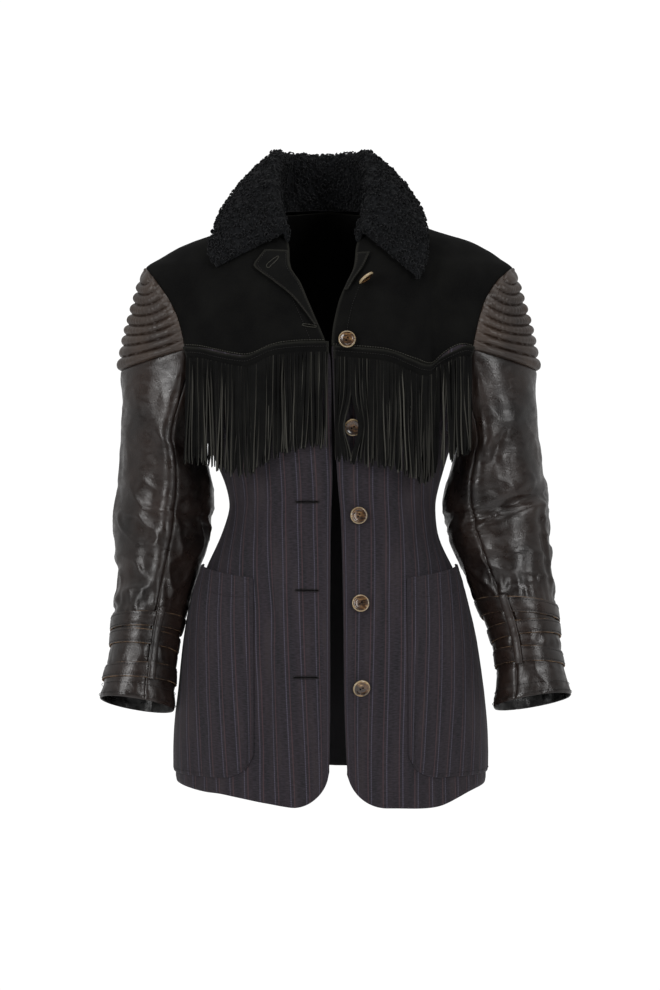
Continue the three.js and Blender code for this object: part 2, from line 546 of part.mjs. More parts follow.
function addFringe(label, side) {
  const from = { z: -176, x: sample(OPENING, "z", sideColumn(side), -176) };
  const startTurn = torsoTurn(side, from.x + side, from.z);
  const endTurn = outerTurn(side, -172, false) - 1.2;
  const low = LAYER_GAP;
  const high = LAYER_GAP + STRAND_THICK;
  const pitch = (endTurn - startTurn) / STRAND_COUNT;
  const positions = [];
  const index = [];
  const push = (p) => positions.push(p.x, p.y, p.z) / 3 - 1;
  const quad = (a, b, c, d) => index.push(a, b, c, a, c, d);
  const cornersAt = (turn) => {
    const top = yokeEdge(side, torsoPoint(side, turn, from.z).x) - 2 * SEAM_GAP;
    return [top, top - STRIP_HEIGHT].map((z) => {
      const normal = torsoNormal(side, turn, z);
      return [high, low].map((offset) => torsoPoint(side, turn, z).addScaledVector(normal, offset));
    });
  };
  // Each cut edge of the strip is a column of four points: top and bottom, each outer and inner.
  const columns = [];
  for (let i = 0; i < STRAND_COUNT; i += 1) {
    for (const share of [0.5 - STRAND_SHARE / 2, 0.5 + STRAND_SHARE / 2]) {
      const turn = startTurn + (i + share) * pitch;
      const points = cornersAt(turn);
      columns.push({ turn, points, ids: points.map((pair) => pair.map(push)) });
    }
  }
  const cap = ({ ids: [top, bottom] }, first) =>
    first ? quad(top[0], top[1], bottom[1], bottom[0]) : quad(top[0], bottom[0], bottom[1], top[1]);
  cap(columns[0], true);
  cap(columns[columns.length - 1], false);
  for (let k = 0; k < columns.length - 1; k += 1) {
    const [a, b] = [columns[k].ids, columns[k + 1].ids];
    quad(a[0][0], a[1][0], b[1][0], b[0][0]);
    quad(a[0][1], b[0][1], b[1][1], a[1][1]);
    quad(a[0][0], b[0][0], b[0][1], a[0][1]);
    if (k % 2 === 1) quad(a[1][0], a[1][1], b[1][1], b[1][0]);
    else hangStrand(k / 2, columns[k], columns[k + 1]);
  }
  // A strand is a four-sided rod from the strip's bottom edge down to its tip. Beyond the yoke's deep fold
  // the strands keep the places of their roots, so that none crosses the next as the fold fades.
  function hangStrand(i, a, b) {
    const place = Math.abs(a.points[1][0].x);
    const length = sample(STRANDS, "x", sideColumn(side), place) * (1 + 0.02 * Math.sin(2.3 * i + side));
    const facing = Math.abs(torsoNormal(side, a.turn, a.points[1][0].z).y);
    const forward = facing * (i % 2 === 0 ? 0.4 : 2.6);
    let ring = [a.ids[1][0], b.ids[1][0], b.ids[1][1], a.ids[1][1]];
    const root = [a.points[1][0], b.points[1][0], b.points[1][1], a.points[1][1]];
    for (const share of [0.16, 0.55, 1]) {
      const drop = share * length;
      const sway = strandSway(i, side) * share * share;
      const middle = root[0].clone().lerp(root[1], 0.5);
      const rest = clothFront(side, middle.x + sway, middle.z - drop) - STRAND_CLEAR - forward;
      const plumb = middle.y - (forward + STRAND_LIFT) * Math.min(1, share * 6) + recede(middle, drop);
      const y = Math.abs(middle.x) < YOKE_FOLD_X ? Math.min(plumb, rest) : plumb;
      const shift = new THREE.Vector3(sway, y - middle.y, -drop);
      const next = root.map((p) => push(p.clone().add(shift)));
      for (let k = 0; k < 4; k += 1) quad(ring[k], next[k], next[(k + 1) % 4], ring[(k + 1) % 4]);
      ring = next;
    }
    quad(ring[0], ring[3], ring[2], ring[1]);
  }
  // Strands over the chest fall back a little with the cloth behind them; those at the arm hang plumb.
  function recede(root, drop) {
    const overChest = clamp((150 - Math.abs(root.x)) / 40, 0, 1);
    return overChest * 0.05 * drop;
  }
  addSolid(`fringe_${label}`, MATERIALS.suede, positions, index);
}

// Turned-back tops of the front edges, lying on the yoke.
function addLapel(label, side) {
  const rows = LAPELS[side];
  const heights = rows.map((row) => row.z);
  const place = (u, z) => {
    const edge = sample(OPENING, "z", sideColumn(side), z) + side * 0.6;
    const width = sample(rows, "z", "width", z);
    return { turn: torsoTurn(side, edge + side * width * u, z), z };
  };
  const rise = (u) => LAYER_GAP + 1.4 * Math.sin(Math.PI * Math.min(u, 0.5)) + u * u;
  const us = [0, 0.33, 0.66, 1];
  const outer = (u) => rise(u) + SUEDE_THICK;
  addTorsoCloth(`lapel_${label}`, MATERIALS.suede, side, us, heights, place, outer, rise);
}

// Patch pockets on the hips: their mouths stand a little away from the body at the side.
const POCKET = {
  innerX: 90,
  top: -434,
  outerTop: -421,
  bottom: -664,
  corner: 26,
  lift: 1.3,
  flare: 10,
  flareDepth: 120,
};

function addPocket(label, side) {
  const us = [0, 0.05, 0.13, 0.25, 0.4, 0.55, 0.7, 0.85, 1];
  const vs = [0, 0.1, 0.22, 0.36, 0.52, 0.68, 0.84, 0.95, 1];
  const place = (u, v) => {
    const top = mix(POCKET.top, POCKET.outerTop, u);
    const run = clamp(POCKET.corner - u * 110, 0, POCKET.corner);
    const bottom = POCKET.bottom + POCKET.corner - Math.sqrt(POCKET.corner ** 2 - run ** 2);
    const z = mix(top, bottom, v);
    const start = torsoTurn(side, side * POCKET.innerX, z);
    return { turn: mix(start, 88.5, u), z };
  };
  const swell = (u) => u * u * (1 - 0.85 * u ** 4);
  const fade = (v) => Math.exp(-1.6 * ((v * 240) / POCKET.flareDepth) ** 2);
  const stand = (u, v) => POCKET.lift + POCKET.flare * swell(u) * fade(v);
  const outer = (u, v) => stand(u, v) + WOOL_THICK;
  addTorsoCloth(`pocket_${label}`, MATERIALS.wool, side, us, vs, place, outer, stand);
}

// A point of the armhole seam on the torso's surface, with a gap outwards from the body's edge.
function armholePoint(side, z, back, gap) {
  const x = sample(ARMHOLE, "z", sideColumn(side), z);
  const half = sample(TORSO, "z", sideColumn(side), z);
  const point = torsoPoint(side, torsoTurn(side, side * Math.min(x, half), z, back), z);
  point.x += side * gap;
  return point;
}

// The half loop from the front of the armhole round the outside of the arm to its back.
function outerLoop(side, z, outer, turn) {
  const front = armholePoint(side, z, false, SEAM_GAP);
  const back = armholePoint(side, z, true, SEAM_GAP);
  const centre = front.clone().add(back).multiplyScalar(0.5);
  const forward = front.clone().sub(back).multiplyScalar(0.5);
  const outward = outer.clone().sub(centre);
  return centre
    .addScaledVector(forward, Math.cos(degrees(turn)))
    .addScaledVector(outward, Math.sin(degrees(turn)));
}

// One ring of the sleeve. Ring 0 is the seam with the shoulder above and the armhole below.
function sleeveRing(side, ring, turn) {
  const row = SLEEVES[side][ring];
  const s = Math.sin(degrees(turn));
  const c = Math.cos(degrees(turn));
  if (ring === 0 && s >= 0) {
    return outerLoop(side, CAP_BOTTOM_Z, new THREE.Vector3(side * row.outer, 0, row.outerZ), turn);
  }
  if (ring === 0) {
    const z = mix(CAP_BOTTOM_Z, row.innerZ, -s);
    return armholePoint(side, z, c < 0, SEAM_GAP + 1.2 * -s);
  }
  const centre = new THREE.Vector3(
    (side * (row.outer + row.inner)) / 2,
    row.middle,
    (row.outerZ + row.innerZ) / 2,
  );
  const outward = new THREE.Vector3((side * (row.outer - row.inner)) / 2, 0, (row.outerZ - row.innerZ) / 2);
  const forward = new THREE.Vector3(0, -row.deep, row.tilt * row.deep);
  return centre.addScaledVector(forward, c).addScaledVector(outward, s);
}

// A point of the sleeve between its rings, with its creases.
function sleevePoint(side, turn, along) {
  const last = SLEEVES[side].length - 1;
  const i = clamp(Math.floor(along), 0, last - 1);
  const t = along - i;
  const [p0, p1, p2, p3] = [i - 1, i, i + 1, i + 2].map((k) => sleeveRing(side, clamp(k, 0, last), turn));
  const curve = (axis) => {
    const m1 = (p2[axis] - p0[axis]) / (i === 0 ? 1 : 2);
    const m2 = (p3[axis] - p1[axis]) / (i === last - 1 ? 1 : 2);
    const t2 = t * t;
    const t3 = t2 * t;
    return (
      (2 * t3 - 3 * t2 + 1) * p1[axis] +
      (t3 - 2 * t2 + t) * m1 +
      (3 * t2 - 2 * t3) * p2[axis] +
      (t3 - t2) * m2
    );
  };
  return new THREE.Vector3(curve("x"), curve("y"), curve("z"));
}

function sleeveFold(side, turn, along) {
  let depth = 0;
  for (const fold of SLEEVE_FOLDS) {
    if (fold.side !== side) continue;
    const off = ((((turn - fold.turn - fold.slant * (along - fold.ring)) % 360) + 540) % 360) - 180;
    const reach = (along - fold.ring) / fold.long;
    depth += fold.depth * Math.exp(-((off / fold.wide) ** 2)) * Math.exp(-(reach ** 4));
  }
  return depth;
}

function sleeveNormal(side, turn, along) {
  const across = sleevePoint(side, turn + 2, along).sub(sleevePoint(side, turn - 2, along));
  const near = Math.max(along - 0.06, 0);
  const down = sleevePoint(side, turn, along + 0.06).sub(sleevePoint(side, turn, near));
  return down.cross(across).normalize().multiplyScalar(side);
}

// The top sleeve lies outside and the under sleeve inside; their seams run down the front and the back.
const FRONT_SEAM_TURN = { [RIGHT]: -16, [LEFT]: -30 };
const BACK_SEAM_TURN = 200;
const SLEEVE_START = 0.008; // just below the shoulder seam
const SLEEVE_RINGS = [SLEEVE_START, 0.5, 1, 2, 3, 4, 4.6, 5.3, 6, 6.6, 7.5, 8.5, 9.5, 10.3, 11];
const SLEEVE_SEAM_TURN = 0.25;

function addSleevePiece(name, side, from, to, count) {
  const turns = spread(count).map((share) => mix(from + SLEEVE_SEAM_TURN, to - SLEEVE_SEAM_TURN, share));
  const layer = (offset) =>
    SLEEVE_RINGS.map((along) =>
      turns.map((turn) =>
        sleevePoint(side, turn, along).addScaledVector(
          sleeveNormal(side, turn, along),
          offset - sleeveFold(side, turn, along),
        ),
      ),
    );
  addWall(name, MATERIALS.leather, layer(0), layer(-LEATHER_THICK));
}

// Quilted shoulder: channels of stuffed leather that run from the front of the armhole round to its
// back.
const CHANNEL_PROFILE = [0, 0.72, 1, 0.72]; // rise at each quarter of a channel
const CAP_TOP_Z = SHOULDER_TIP_Z - 0.6;
const CAP_OUTER = [
  { v: 0, right: 222.5, left: 220.5, z: -66 },
  { v: 0.25, right: 229, left: 226, z: -96 },
  { v: 0.5, right: 237.5, left: 235, z: -126 },
  { v: 0.75, right: 245, left: 242, z: -154 },
  { v: 1, right: 251, left: 248, z: -187 },
];

function capPoint(side, turn, v) {
  const z = mix(CAP_TOP_Z, CAP_BOTTOM_Z, v);
  const x = side * sample(CAP_OUTER, "v", sideColumn(side), v);
  return outerLoop(side, z, new THREE.Vector3(x, 0, sample(CAP_OUTER, "v", "z", v)), turn);
}

function capNormal(side, turn, v) {
  const across = capPoint(side, turn + 2, v).sub(capPoint(side, turn - 2, v));
  const down = capPoint(side, turn, v + 0.01).sub(capPoint(side, turn, v - 0.01));
  return down.cross(across).normalize().multiplyScalar(side);
}

function addShoulderCap(label, side) {
  const turns = spread(9).map((share) => mix(0, 180, share));
  const rows = [];
  for (let i = 0; i < CHANNEL_COUNT; i += 1) {
    CHANNEL_PROFILE.forEach((rise, k) => {
      rows.push({ v: (i + k / CHANNEL_PROFILE.length) / CHANNEL_COUNT, rise });
    });
  }
  rows.push({ v: 1, rise: 0 });
  const layer = (offset) =>
    rows.map(({ v, rise }) =>
      turns.map((turn) => {
        const ends = Math.min(1, Math.sin(degrees(turn)) * 4 + 0.25);
        const tip = Math.min(1, 0.2 + 4 * v);
        return capPoint(side, turn, v).addScaledVector(capNormal(side, turn, v), offset(rise * ends * tip));
      }),
    );
  const outer = layer((rise) => 0.4 + CHANNEL_RISE * rise);
  const inner = layer(() => -LEATHER_THICK);
  addWall(`shoulder_${label}`, MATERIALS.leather, outer, inner);
}

// Three straps round each cuff, and the upright keeper that holds them at the front seam.
const STRAPS = {
  [RIGHT]: [
    { along: 7.72, slope: 0.0 },
    { along: 8.36, slope: -0.08 },
    { along: 9.72, slope: 0.05 },
  ],
  [LEFT]: [
    { along: 7.27, slope: 0.12 },
    { along: 8.01, slope: -0.08 },
    { along: 9.05, slope: 0.05 },
  ],
};
const STRAP_HALF = 0.24; // half a strap's width, in rings of the sleeve tables
const STRAP_SIDES = 26;
const STRAP_DRAWN_IN = 0.1; // how much closer a strap lies on the inside of the arm
const KEEPER_TURN = -22;
const KEEPER_SPAN = { [RIGHT]: [7.28, 10.1], [LEFT]: [6.93, 9.42] };

function addStrap(name, side, { along, slope }) {
  const turns = spread(STRAP_SIDES).slice(0, -1).map((share) => 360 * share + 2);
  const layer = (offset) =>
    [-1, 1].map((edge) =>
      turns.map((turn) => {
        const place = along + edge * STRAP_HALF + slope * Math.sin(degrees(turn));
        const lift = offset - STRAP_DRAWN_IN * Math.max(0, -Math.sin(degrees(turn)));
        return sleevePoint(side, turn, place).addScaledVector(sleeveNormal(side, turn, place), lift);
      }),
    );
  addWall(name, MATERIALS.leather, layer(STRAP_LIFT + STRAP_THICK), layer(STRAP_LIFT), { tube: true });
}

function addKeeper(name, side) {
  const [first, last] = KEEPER_SPAN[side];
  const alongs = spread(6).map((share) => mix(first, last, share));
  const reach = 5.5;
  const low = STRAP_LIFT + STRAP_THICK + LAYER_GAP;
  const layer = (offset) =>
    alongs.map((along) =>
      [-1, 1].map((edge) => {
        const turn = KEEPER_TURN + edge * reach;
        return sleevePoint(side, turn, along).addScaledVector(sleeveNormal(side, turn, along), offset);
      }),
    );
  addWall(name, MATERIALS.leather, layer(low + STRAP_THICK), layer(low));
}

// Collar: one folded leaf of hide and pile. The stand rises from the neck seam, rolls over and
// falls outwards.
function collarStations() {
  const right = COLLAR_RIGHT;
  const left = COLLAR_LEFT.slice(0, -1).reverse();
  return [...right, ...left];
}

function collarPath(station) {
  const vector = (values) => new THREE.Vector3(...values);
  const neck = vector(station.neck);
  const roll = vector(station.roll);
  const edge = vector(station.edge);
  const away = edge.clone().sub(roll).setZ(0).normalize();
  const turned = roll.clone().addScaledVector(away, 7);
  const top = roll.clone().add(turned).multiplyScalar(0.5).add(new THREE.Vector3(0, 0, 3));
  const along = edge.clone().sub(turned);
  const across = new THREE.Vector3(0, 0, 1).cross(along).cross(along).negate().normalize();
  const bend = turned.clone().add(edge).multiplyScalar(0.5).addScaledVector(across, station.bulge);
  const fall = new THREE.QuadraticBezierCurve3(turned, bend, edge);
  const stand = [neck, neck.clone().lerp(roll, 0.5), roll];
  return [...stand, top, ...fall.getPoints(5)];
}

function addCollar() {
  const paths = collarStations().map(collarPath);
  const count = paths[0].length;
  const line = (_, k) => new THREE.CatmullRomCurve3(paths.map((path) => path[k]));
  const lines = Array.from({ length: count }, line);
  const parts = 24;
  const hide = spread(parts).map((t) => lines.map((line) => line.getPoint(t)));
  const pile = hide.map((row, i) =>
    row.map((p, k) => {
      const before = hide[Math.max(i - 1, 0)][k];
      const after = hide[Math.min(i + 1, parts)][k];
      const below = row[Math.max(k - 1, 0)];
      const above = row[Math.min(k + 1, count - 1)];
      const normal = after.clone().sub(before).cross(above.clone().sub(below)).normalize();
      return p.clone().addScaledVector(normal, COLLAR_THICK);
    }),
  );
  addWall("collar", MATERIALS.pile, pile, hide);
}

// Buttons: two-hole horn discs with a raised rim, each on a short shank of thread.
function buttonGeometry(shank) {
  const profile = [
    [0, -shank],
    [1.6, -shank],
    [1.6, 0],
    [BUTTON_RADIUS - 1.4, 0.2],
    [BUTTON_RADIUS, 1.5],
    [BUTTON_RADIUS - 0.8, BUTTON_THICK],
    [BUTTON_RADIUS - 2.6, BUTTON_THICK],
    [BUTTON_RADIUS - 4, BUTTON_THICK - 1],
    [0, BUTTON_THICK - 1],
  ];
  const geometry = new THREE.LatheGeometry(profile.map(([r, h]) => new THREE.Vector2(r, h)), 16);
  return geometry.rotateX(Math.PI / 2);
}

function addButton(number, { x, z, stand, shank, facing }) {
  const turn = torsoTurn(LEFT, x, z);
  const normal = torsoNormal(LEFT, turn, z);
  const place = torsoPoint(LEFT, turn, z).addScaledVector(normal, stand);
  const out = facing ? new THREE.Vector3(...facing).normalize() : normal;
  const mesh = new THREE.Mesh(buttonGeometry(shank), MATERIALS.horn);
  mesh.name = `button_${number}`;
  mesh.quaternion.setFromUnitVectors(new THREE.Vector3(0, 0, 1), out);
  mesh.position.copy(place);
  jacket.add(mesh);
}

addCollar();
addBackYoke();
for (const [label, side] of Object.entries(SIDES)) {
  addFrontYoke(label, side);
  addLapel(label, side);
  addFringe(label, side);
  addFrontPanel(label, side);
  addBackPanel(label, side);
  addPocket(label, side);
  addShoulderCap(label, side);
  addSleevePiece(`sleeve_top_${label}`, side, FRONT_SEAM_TURN[side], BACK_SEAM_TURN, 12);
  addSleevePiece(`sleeve_under_${label}`, side, BACK_SEAM_TURN, 360 + FRONT_SEAM_TURN[side], 8);
  STRAPS[side].forEach((strap, i) => addStrap(`strap_${label}_${i + 1}`, side, strap));
  addKeeper(`keeper_${label}`, side);
}
BUTTONS.forEach((button, i) => addButton(i + 1, button));

export default jacket;
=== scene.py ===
# A fitted biker jacket, worn open and hollow: a pinstriped wool body under a black suede yoke with a cut
# fringe, a curly wool collar, quilted leather shoulders, and leather sleeves with three straps at each cuff.
# Sizes are in millimetres and are turned to metres in the meshes. +Z up, -Y front, -X the right arm.
import math

import bpy
import numpy as np
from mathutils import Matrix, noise


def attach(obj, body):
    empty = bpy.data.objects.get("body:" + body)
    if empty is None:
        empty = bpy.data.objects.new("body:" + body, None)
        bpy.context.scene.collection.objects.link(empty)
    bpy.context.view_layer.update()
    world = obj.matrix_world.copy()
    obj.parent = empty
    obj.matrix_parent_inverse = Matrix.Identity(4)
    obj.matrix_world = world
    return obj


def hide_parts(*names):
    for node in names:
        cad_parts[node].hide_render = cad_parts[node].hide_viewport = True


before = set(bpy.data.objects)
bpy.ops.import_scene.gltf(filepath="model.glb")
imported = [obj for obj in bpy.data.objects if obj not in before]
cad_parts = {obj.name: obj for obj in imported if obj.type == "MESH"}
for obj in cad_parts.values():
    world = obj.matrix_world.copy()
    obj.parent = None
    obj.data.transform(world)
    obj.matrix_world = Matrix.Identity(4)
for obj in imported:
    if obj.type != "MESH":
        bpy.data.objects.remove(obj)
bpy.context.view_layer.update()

# Wool body
# Two fronts and two backs of worsted suiting, black-brown with pairs of hair-thin stripes. They are shaped
# by darts and side seams, hang from the yoke's edge, and end in a turned hem with a rounded front corner.
RIGHT, LEFT = -1, 1
SIDES = {"right": RIGHT, "left": LEFT}
WOOL_THICK = 2.0
SEAM_GAP = -0.3  # the pieces run into each other at their seams, so that no light comes through
STRIP_GAP = 0.6  # from the yoke's edge to the fringe's strip
SEAM_TURN = 0.03  # degrees short of the side seams
HEM_CORNER = 45
SHOULDER_TIP_Z = -64
UNDERARM_Z = -265
FRONT_TOP_Z = -158.0  # where the fronts' seam with the yoke, and their hem, are measured round the body
FRONT_LOW_Z = -660.0
BACK_YOKE_Z = -168
BODY_HALF = 165  # half the body's width below the arms
BACK_TUCK = 4.6  # how far the backs run up behind the yoke


def table(names, rows):
    """The named columns of a short table."""
    return dict(zip(names.split(), np.array(rows, float).T))


TORSO = table(
    "z right left front back round",
    [
        (14, 66, 50, 6, 58, 2),
        (2, 84, 68, 20, 63, 2),
        (-8, 104, 93, 36, 70, 2),
        (-16, 124, 116, 50, 76, 2),
        (-25, 142, 143, 61, 81, 2),
        (-33, 164, 170, 69, 85, 2),
        (-42, 185, 188, 76, 89, 2),
        (-53, 204, 204, 82, 93, 2),
        (-64, 221, 219, 88, 97, 2),
        (-90, 230, 228, 98, 104, 2),
        (-125, 226, 224, 108, 110, 2),
        (-165, 212, 210, 117, 112, 2.05),
        (-190, 196, 194, 121, 111, 2.1),
        (-220, 176, 176, 121, 108, 2.15),
        (-265, 151, 151, 113, 99, 2.2),
        (-300, 135, 138, 102, 88, 2.2),
        (-330, 124, 130, 93, 80, 2.2),
        (-352, 121, 127, 90, 78, 2.2),
        (-385, 131, 130, 93, 84, 2.2),
        (-428, 150, 149, 103, 98, 2.25),
        (-467, 163, 161, 110, 108, 2.3),
        (-510, 172, 172, 116, 115, 2.35),
        (-560, 178, 180, 119, 120, 2.4),
        (-620, 184, 186, 121, 124, 2.4),
        (-720, 184, 186, 122, 128, 2.4),
    ],
)
# Distance of each front's edge from the middle plane.
OPENING = table(
    "z right left",
    [
        (2, -80, 64),
        (-8, -74, 58),
        (-16, -68, 52),
        (-26, -60, 43),
        (-38, -50, 33),
        (-70, -46, 28),
        (-88, -35, 20),
        (-107, -27, 12),
        (-126, -19, 7),
        (-145, -11, 3.5),
        (-163, -4, 2.5),
        (-182, 0, 3.5),
        (-240, 1.5, 5),
        (-318, 2.5, 9),
        (-366, 1, 13),
        (-462, 0, 15.5),
        (-582, 0, 17),
        (-655, -1, 20),
        (-720, -3, 25),
    ],
)
ARMHOLE = table(
    "z right left",
    [
        (-64, 221, 219),
        (-72, 215, 210),
        (-85, 205, 197),
        (-105, 191, 184),
        (-125, 181, 177),
        (-145, 175, 172),
        (-165, 171, 168),
        (-190, 167, 165),
        (-215, 161, 160),
        (-240, 154, 154),
        (-258, 151, 151),
        (-265, 150.5, 150.5),
    ],
)
# Height of the yoke's wavy lower edge, and of the hem, against the distance from the middle.
YOKE_EDGE = table(
    "x right left",
    [
        (0, -158, -163),
        (42, -159, -166),
        (68, -163, -169),
        (97, -174, -179),
        (117, -172, -184),
        (136, -167, -170),
        (152, -163, -161),
        (172, -161, -163),
    ],
)
HEM = table(
    "x right left back",
    [
        (0, -698, -698, -672),
        (42, -697, -698, -672),
        (75, -692, -698, -672),
        (110, -686, -699, -673),
        (130, -683, -697, -674),
        (148, -682, -690, -675),
        (168, -679, -682, -676),
        (190, -675, -677, -677),
    ],
)
# Folds of the body cloth: soft troughs, or ridges where depth is negative, each of its own width and length.
FRONT_FOLDS = [
    (LEFT, 127, -170, 14, 105, 9, 0.02),
    (LEFT, 104, -150, 16, 90, -3, 0.02),
    (LEFT, 150, -165, 10, 70, -3, 0),
    (RIGHT, 156, -125, 14, 60, 4, -0.25),
    (RIGHT, 120, -110, 22, 80, -3, 0.1),
    (RIGHT, 75, -545, 13, 120, 6, 0.04),
    (RIGHT, 54, -560, 16, 130, -3, 0.02),
    (LEFT, 66, -560, 18, 140, 5, -0.03),
    (LEFT, 92, -570, 18, 120, -3, -0.03),
    (RIGHT, 78, -430, 5, 95, 2.2, -0.22),
    (RIGHT, 128, -330, 7, 60, 1.6, 0.12),
    (RIGHT, 104, -345, 6, 45, 1.4, 0.2),
    (RIGHT, 150, -640, 9, 60, 1.8, 0.02),
    (RIGHT, 28, -640, 12, 80, -1.4, 0.05),
    (LEFT, 64, -420, 5, 100, 2.0, 0.16),
    (LEFT, 112, -340, 7, 55, 1.7, -0.14),
    (LEFT, 90, -320, 6, 40, 1.3, -0.1),
    (LEFT, 140, -650, 10, 60, 2.0, -0.04),
    (LEFT, 40, -600, 12, 90, 1.6, 0.03),
]
BACK_FOLDS = [
    (RIGHT, 74, -560, 20, 130, 6, 0.03),
    (LEFT, 88, -540, 22, 130, 5, 0.04),
    (RIGHT, 128, -150, 18, 80, 5, 0),
    (LEFT, 124, -160, 18, 80, 5, 0),
    (RIGHT, 60, -400, 6, 95, 2.4, 0.05),
    (LEFT, 66, -410, 6, 90, 2.2, -0.05),
    (RIGHT, 34, -330, 14, 40, 1.5, 0.3),
    (LEFT, 40, -345, 12, 36, 1.4, -0.35),
    (RIGHT, 120, -620, 12, 70, 2.2, 0.05),
    (LEFT, 30, -640, 14, 80, 2.0, 0.02),
]


def side_name(side):
    return "right" if side == RIGHT else "left"


def hermite(start, end, leaving, arriving, t):
    """A smooth step from one place to the next, with its slopes at both."""
    rise = (3 - 2 * t) * t * t
    return start + (end - start) * rise + (t - 1) ** 2 * t * leaving + (t - 1) * t * t * arriving


def bell(value, middle, wide, power=2):
    """1 at the middle, falling smoothly to 0 on both sides."""
    return np.exp(-(((value - middle) / wide) ** power))


def half_turns(degrees):
    """An angle brought between -180 and 180 degrees."""
    return (degrees + 540) % 360 - 180


def sample(rows, key, name, at):
    """A table's column at places between its rows, as a smooth curve through them."""
    keys, values = rows[key], rows[name]
    if keys[1] < keys[0]:
        keys, values = keys[::-1], values[::-1]
    last = len(keys) - 1
    before = np.maximum(np.arange(last + 1) - 1, 0)
    after = np.minimum(np.arange(last + 1) + 1, last)
    slopes = (values[after] - values[before]) / (keys[after] - keys[before])
    at = np.clip(at, keys[0], keys[-1])
    i = np.clip(np.searchsorted(keys, at, side="right") - 1, 0, last - 1)
    span = keys[i + 1] - keys[i]
    return hermite(values[i], values[i + 1], slopes[i] * span, slopes[i + 1] * span, (at - keys[i]) / span)


def mix(a, b, share):
    return a + (b - a) * share


def signed_power(value, power):
    return np.sign(value) * np.abs(value) ** power


def torso_fold(side, x, z, front):
    """How far the folds push the body cloth in."""
    depth = 0
    for folds, shown in ((FRONT_FOLDS, front), (BACK_FOLDS, ~front)):
        for fold_side, fold_x, fold_z, wide, high, deep, lean in folds:
            if fold_side == side:
                across = (np.abs(x) - fold_x - lean * (fold_z - z)) / wide
                along = (z - fold_z) / high
                depth = depth + shown * deep * np.exp(-(across**2) - along**4)
    return depth


def torso_point(side, turn, z):
    """A point of the torso. turn is 0 at the front middle, 90 at the side and 180 at the back middle."""
    turn, z = np.broadcast_arrays(np.asarray(turn, float), np.asarray(z, float))
    half = sample(TORSO, "z", side_name(side), z)
    power = 2 / sample(TORSO, "z", "round", z)
    s, c = np.sin(np.radians(turn)), np.cos(np.radians(turn))
    deep = np.where(c > 0, sample(TORSO, "z", "front", z), sample(TORSO, "z", "back", z))
    x = side * half * signed_power(s, power)
    y = -deep * signed_power(c, power)
    fold = torso_fold(side, x, z, c > 0) * np.minimum(1, np.abs(c) * 3)
    reach = np.hypot(x / half, y / deep)
    return np.stack([x - x / half / reach * fold, y - y / deep / reach * fold, z], -1)


def torso_turn(side, x, z, back=False):
    """The turn at which the front or the back reaches a distance from the middle plane."""
    half = sample(TORSO, "z", side_name(side), z)
    power = 2 / sample(TORSO, "z", "round", z)
    turn = np.degrees(np.arcsin(np.clip(signed_power(side * x / half, 1 / power), -1, 1)))
    return np.where(back, 180 - turn, turn)


def unit(vectors):
    return vectors / np.maximum(np.linalg.norm(vectors, axis=-1, keepdims=True), 1e-9)


def torso_normal(side, turn, z):
    across = torso_point(side, turn + 1, z) - torso_point(side, turn - 1, z)
    down = torso_point(side, turn, z - 1.5) - torso_point(side, turn, z + 1.5)
    return side * unit(np.cross(down, across))


def outer_turn(side, z, back):
    """Where a row of body cloth ends: the shoulder seam, the armhole or the side seam."""
    seam = 90 + SEAM_TURN if back else 90 - SEAM_TURN
    edge = torso_turn(side, side * (sample(ARMHOLE, "z", side_name(side), z) - SEAM_GAP), z, back)
    edge = np.maximum(edge, seam) if back else np.minimum(edge, seam)
    return np.where((z > SHOULDER_TIP_Z) | (z < UNDERARM_Z), seam, edge)


def front_span(side, z):
    return torso_turn(side, sample(OPENING, "z", side_name(side), z), z), outer_turn(side, z, False)


def yoke_edge(side, x):
    return sample(YOKE_EDGE, "x", side_name(side), np.abs(x))


def hem_height(side, x, back):
    bottom = sample(HEM, "x", "back" if back else side_name(side), np.abs(x))
    if back:
        return bottom
    from_edge = side * (x - sample(OPENING, "z", side_name(side), bottom + HEM_CORNER))
    run = np.clip(HEM_CORNER - from_edge, 0, HEM_CORNER)
    return bottom + HEM_CORNER - np.sqrt(HEM_CORNER**2 - run**2)


def yoke_seam(side, turn, z):
    """The height of the yoke's edge over a point of the front."""
    return yoke_edge(side, torso_point(side, turn, z)[..., 0])


def front_turn(side, u, z):
    """The turn at a share of the way from the opening to the front's outer edge."""
    start, end = front_span(side, z)
    return mix(start, end, u)


def front_place(side, u, v):
    """The turn and height of a point of a wool front: u runs outwards from the opening and v down."""
    top = yoke_seam(side, front_turn(side, u, FRONT_TOP_Z), FRONT_TOP_Z) - SEAM_GAP
    low_x = torso_point(side, front_turn(side, u, FRONT_LOW_Z), FRONT_LOW_Z)[..., 0]
    z = mix(top, hem_height(side, low_x, False), v)
    return front_turn(side, u, z), z


def back_place(side, u, v):
    z = mix(BACK_YOKE_Z + BACK_TUCK, hem_height(side, side * BODY_HALF * u, True), v)
    return mix(180 - SEAM_TURN, outer_turn(side, z, True), u), z


def grid(us, vs):
    return np.meshgrid(us, vs)


def lengths(points, axis):
    """Running length along the rows or the columns of a grid of points."""
    steps = np.linalg.norm(np.diff(points, axis=axis), axis=-1)
    start = np.zeros_like(np.take(steps, [0], axis=axis))
    return np.concatenate([start, np.cumsum(steps, axis=axis)], axis=axis)


def placed(name, data):
    """A new object in the scene."""
    made = bpy.data.objects.new(name, data)
    bpy.context.scene.collection.objects.link(made)
    return made


def mesh_of(name, points, edges, faces, *finishes):
    """A mesh from points in millimetres."""
    mesh = bpy.data.meshes.new(name)
    mesh.from_pydata((np.asarray(points) / 1000).tolist(), edges, faces)
    for finish in finishes:
        mesh.materials.append(finish)
    return mesh


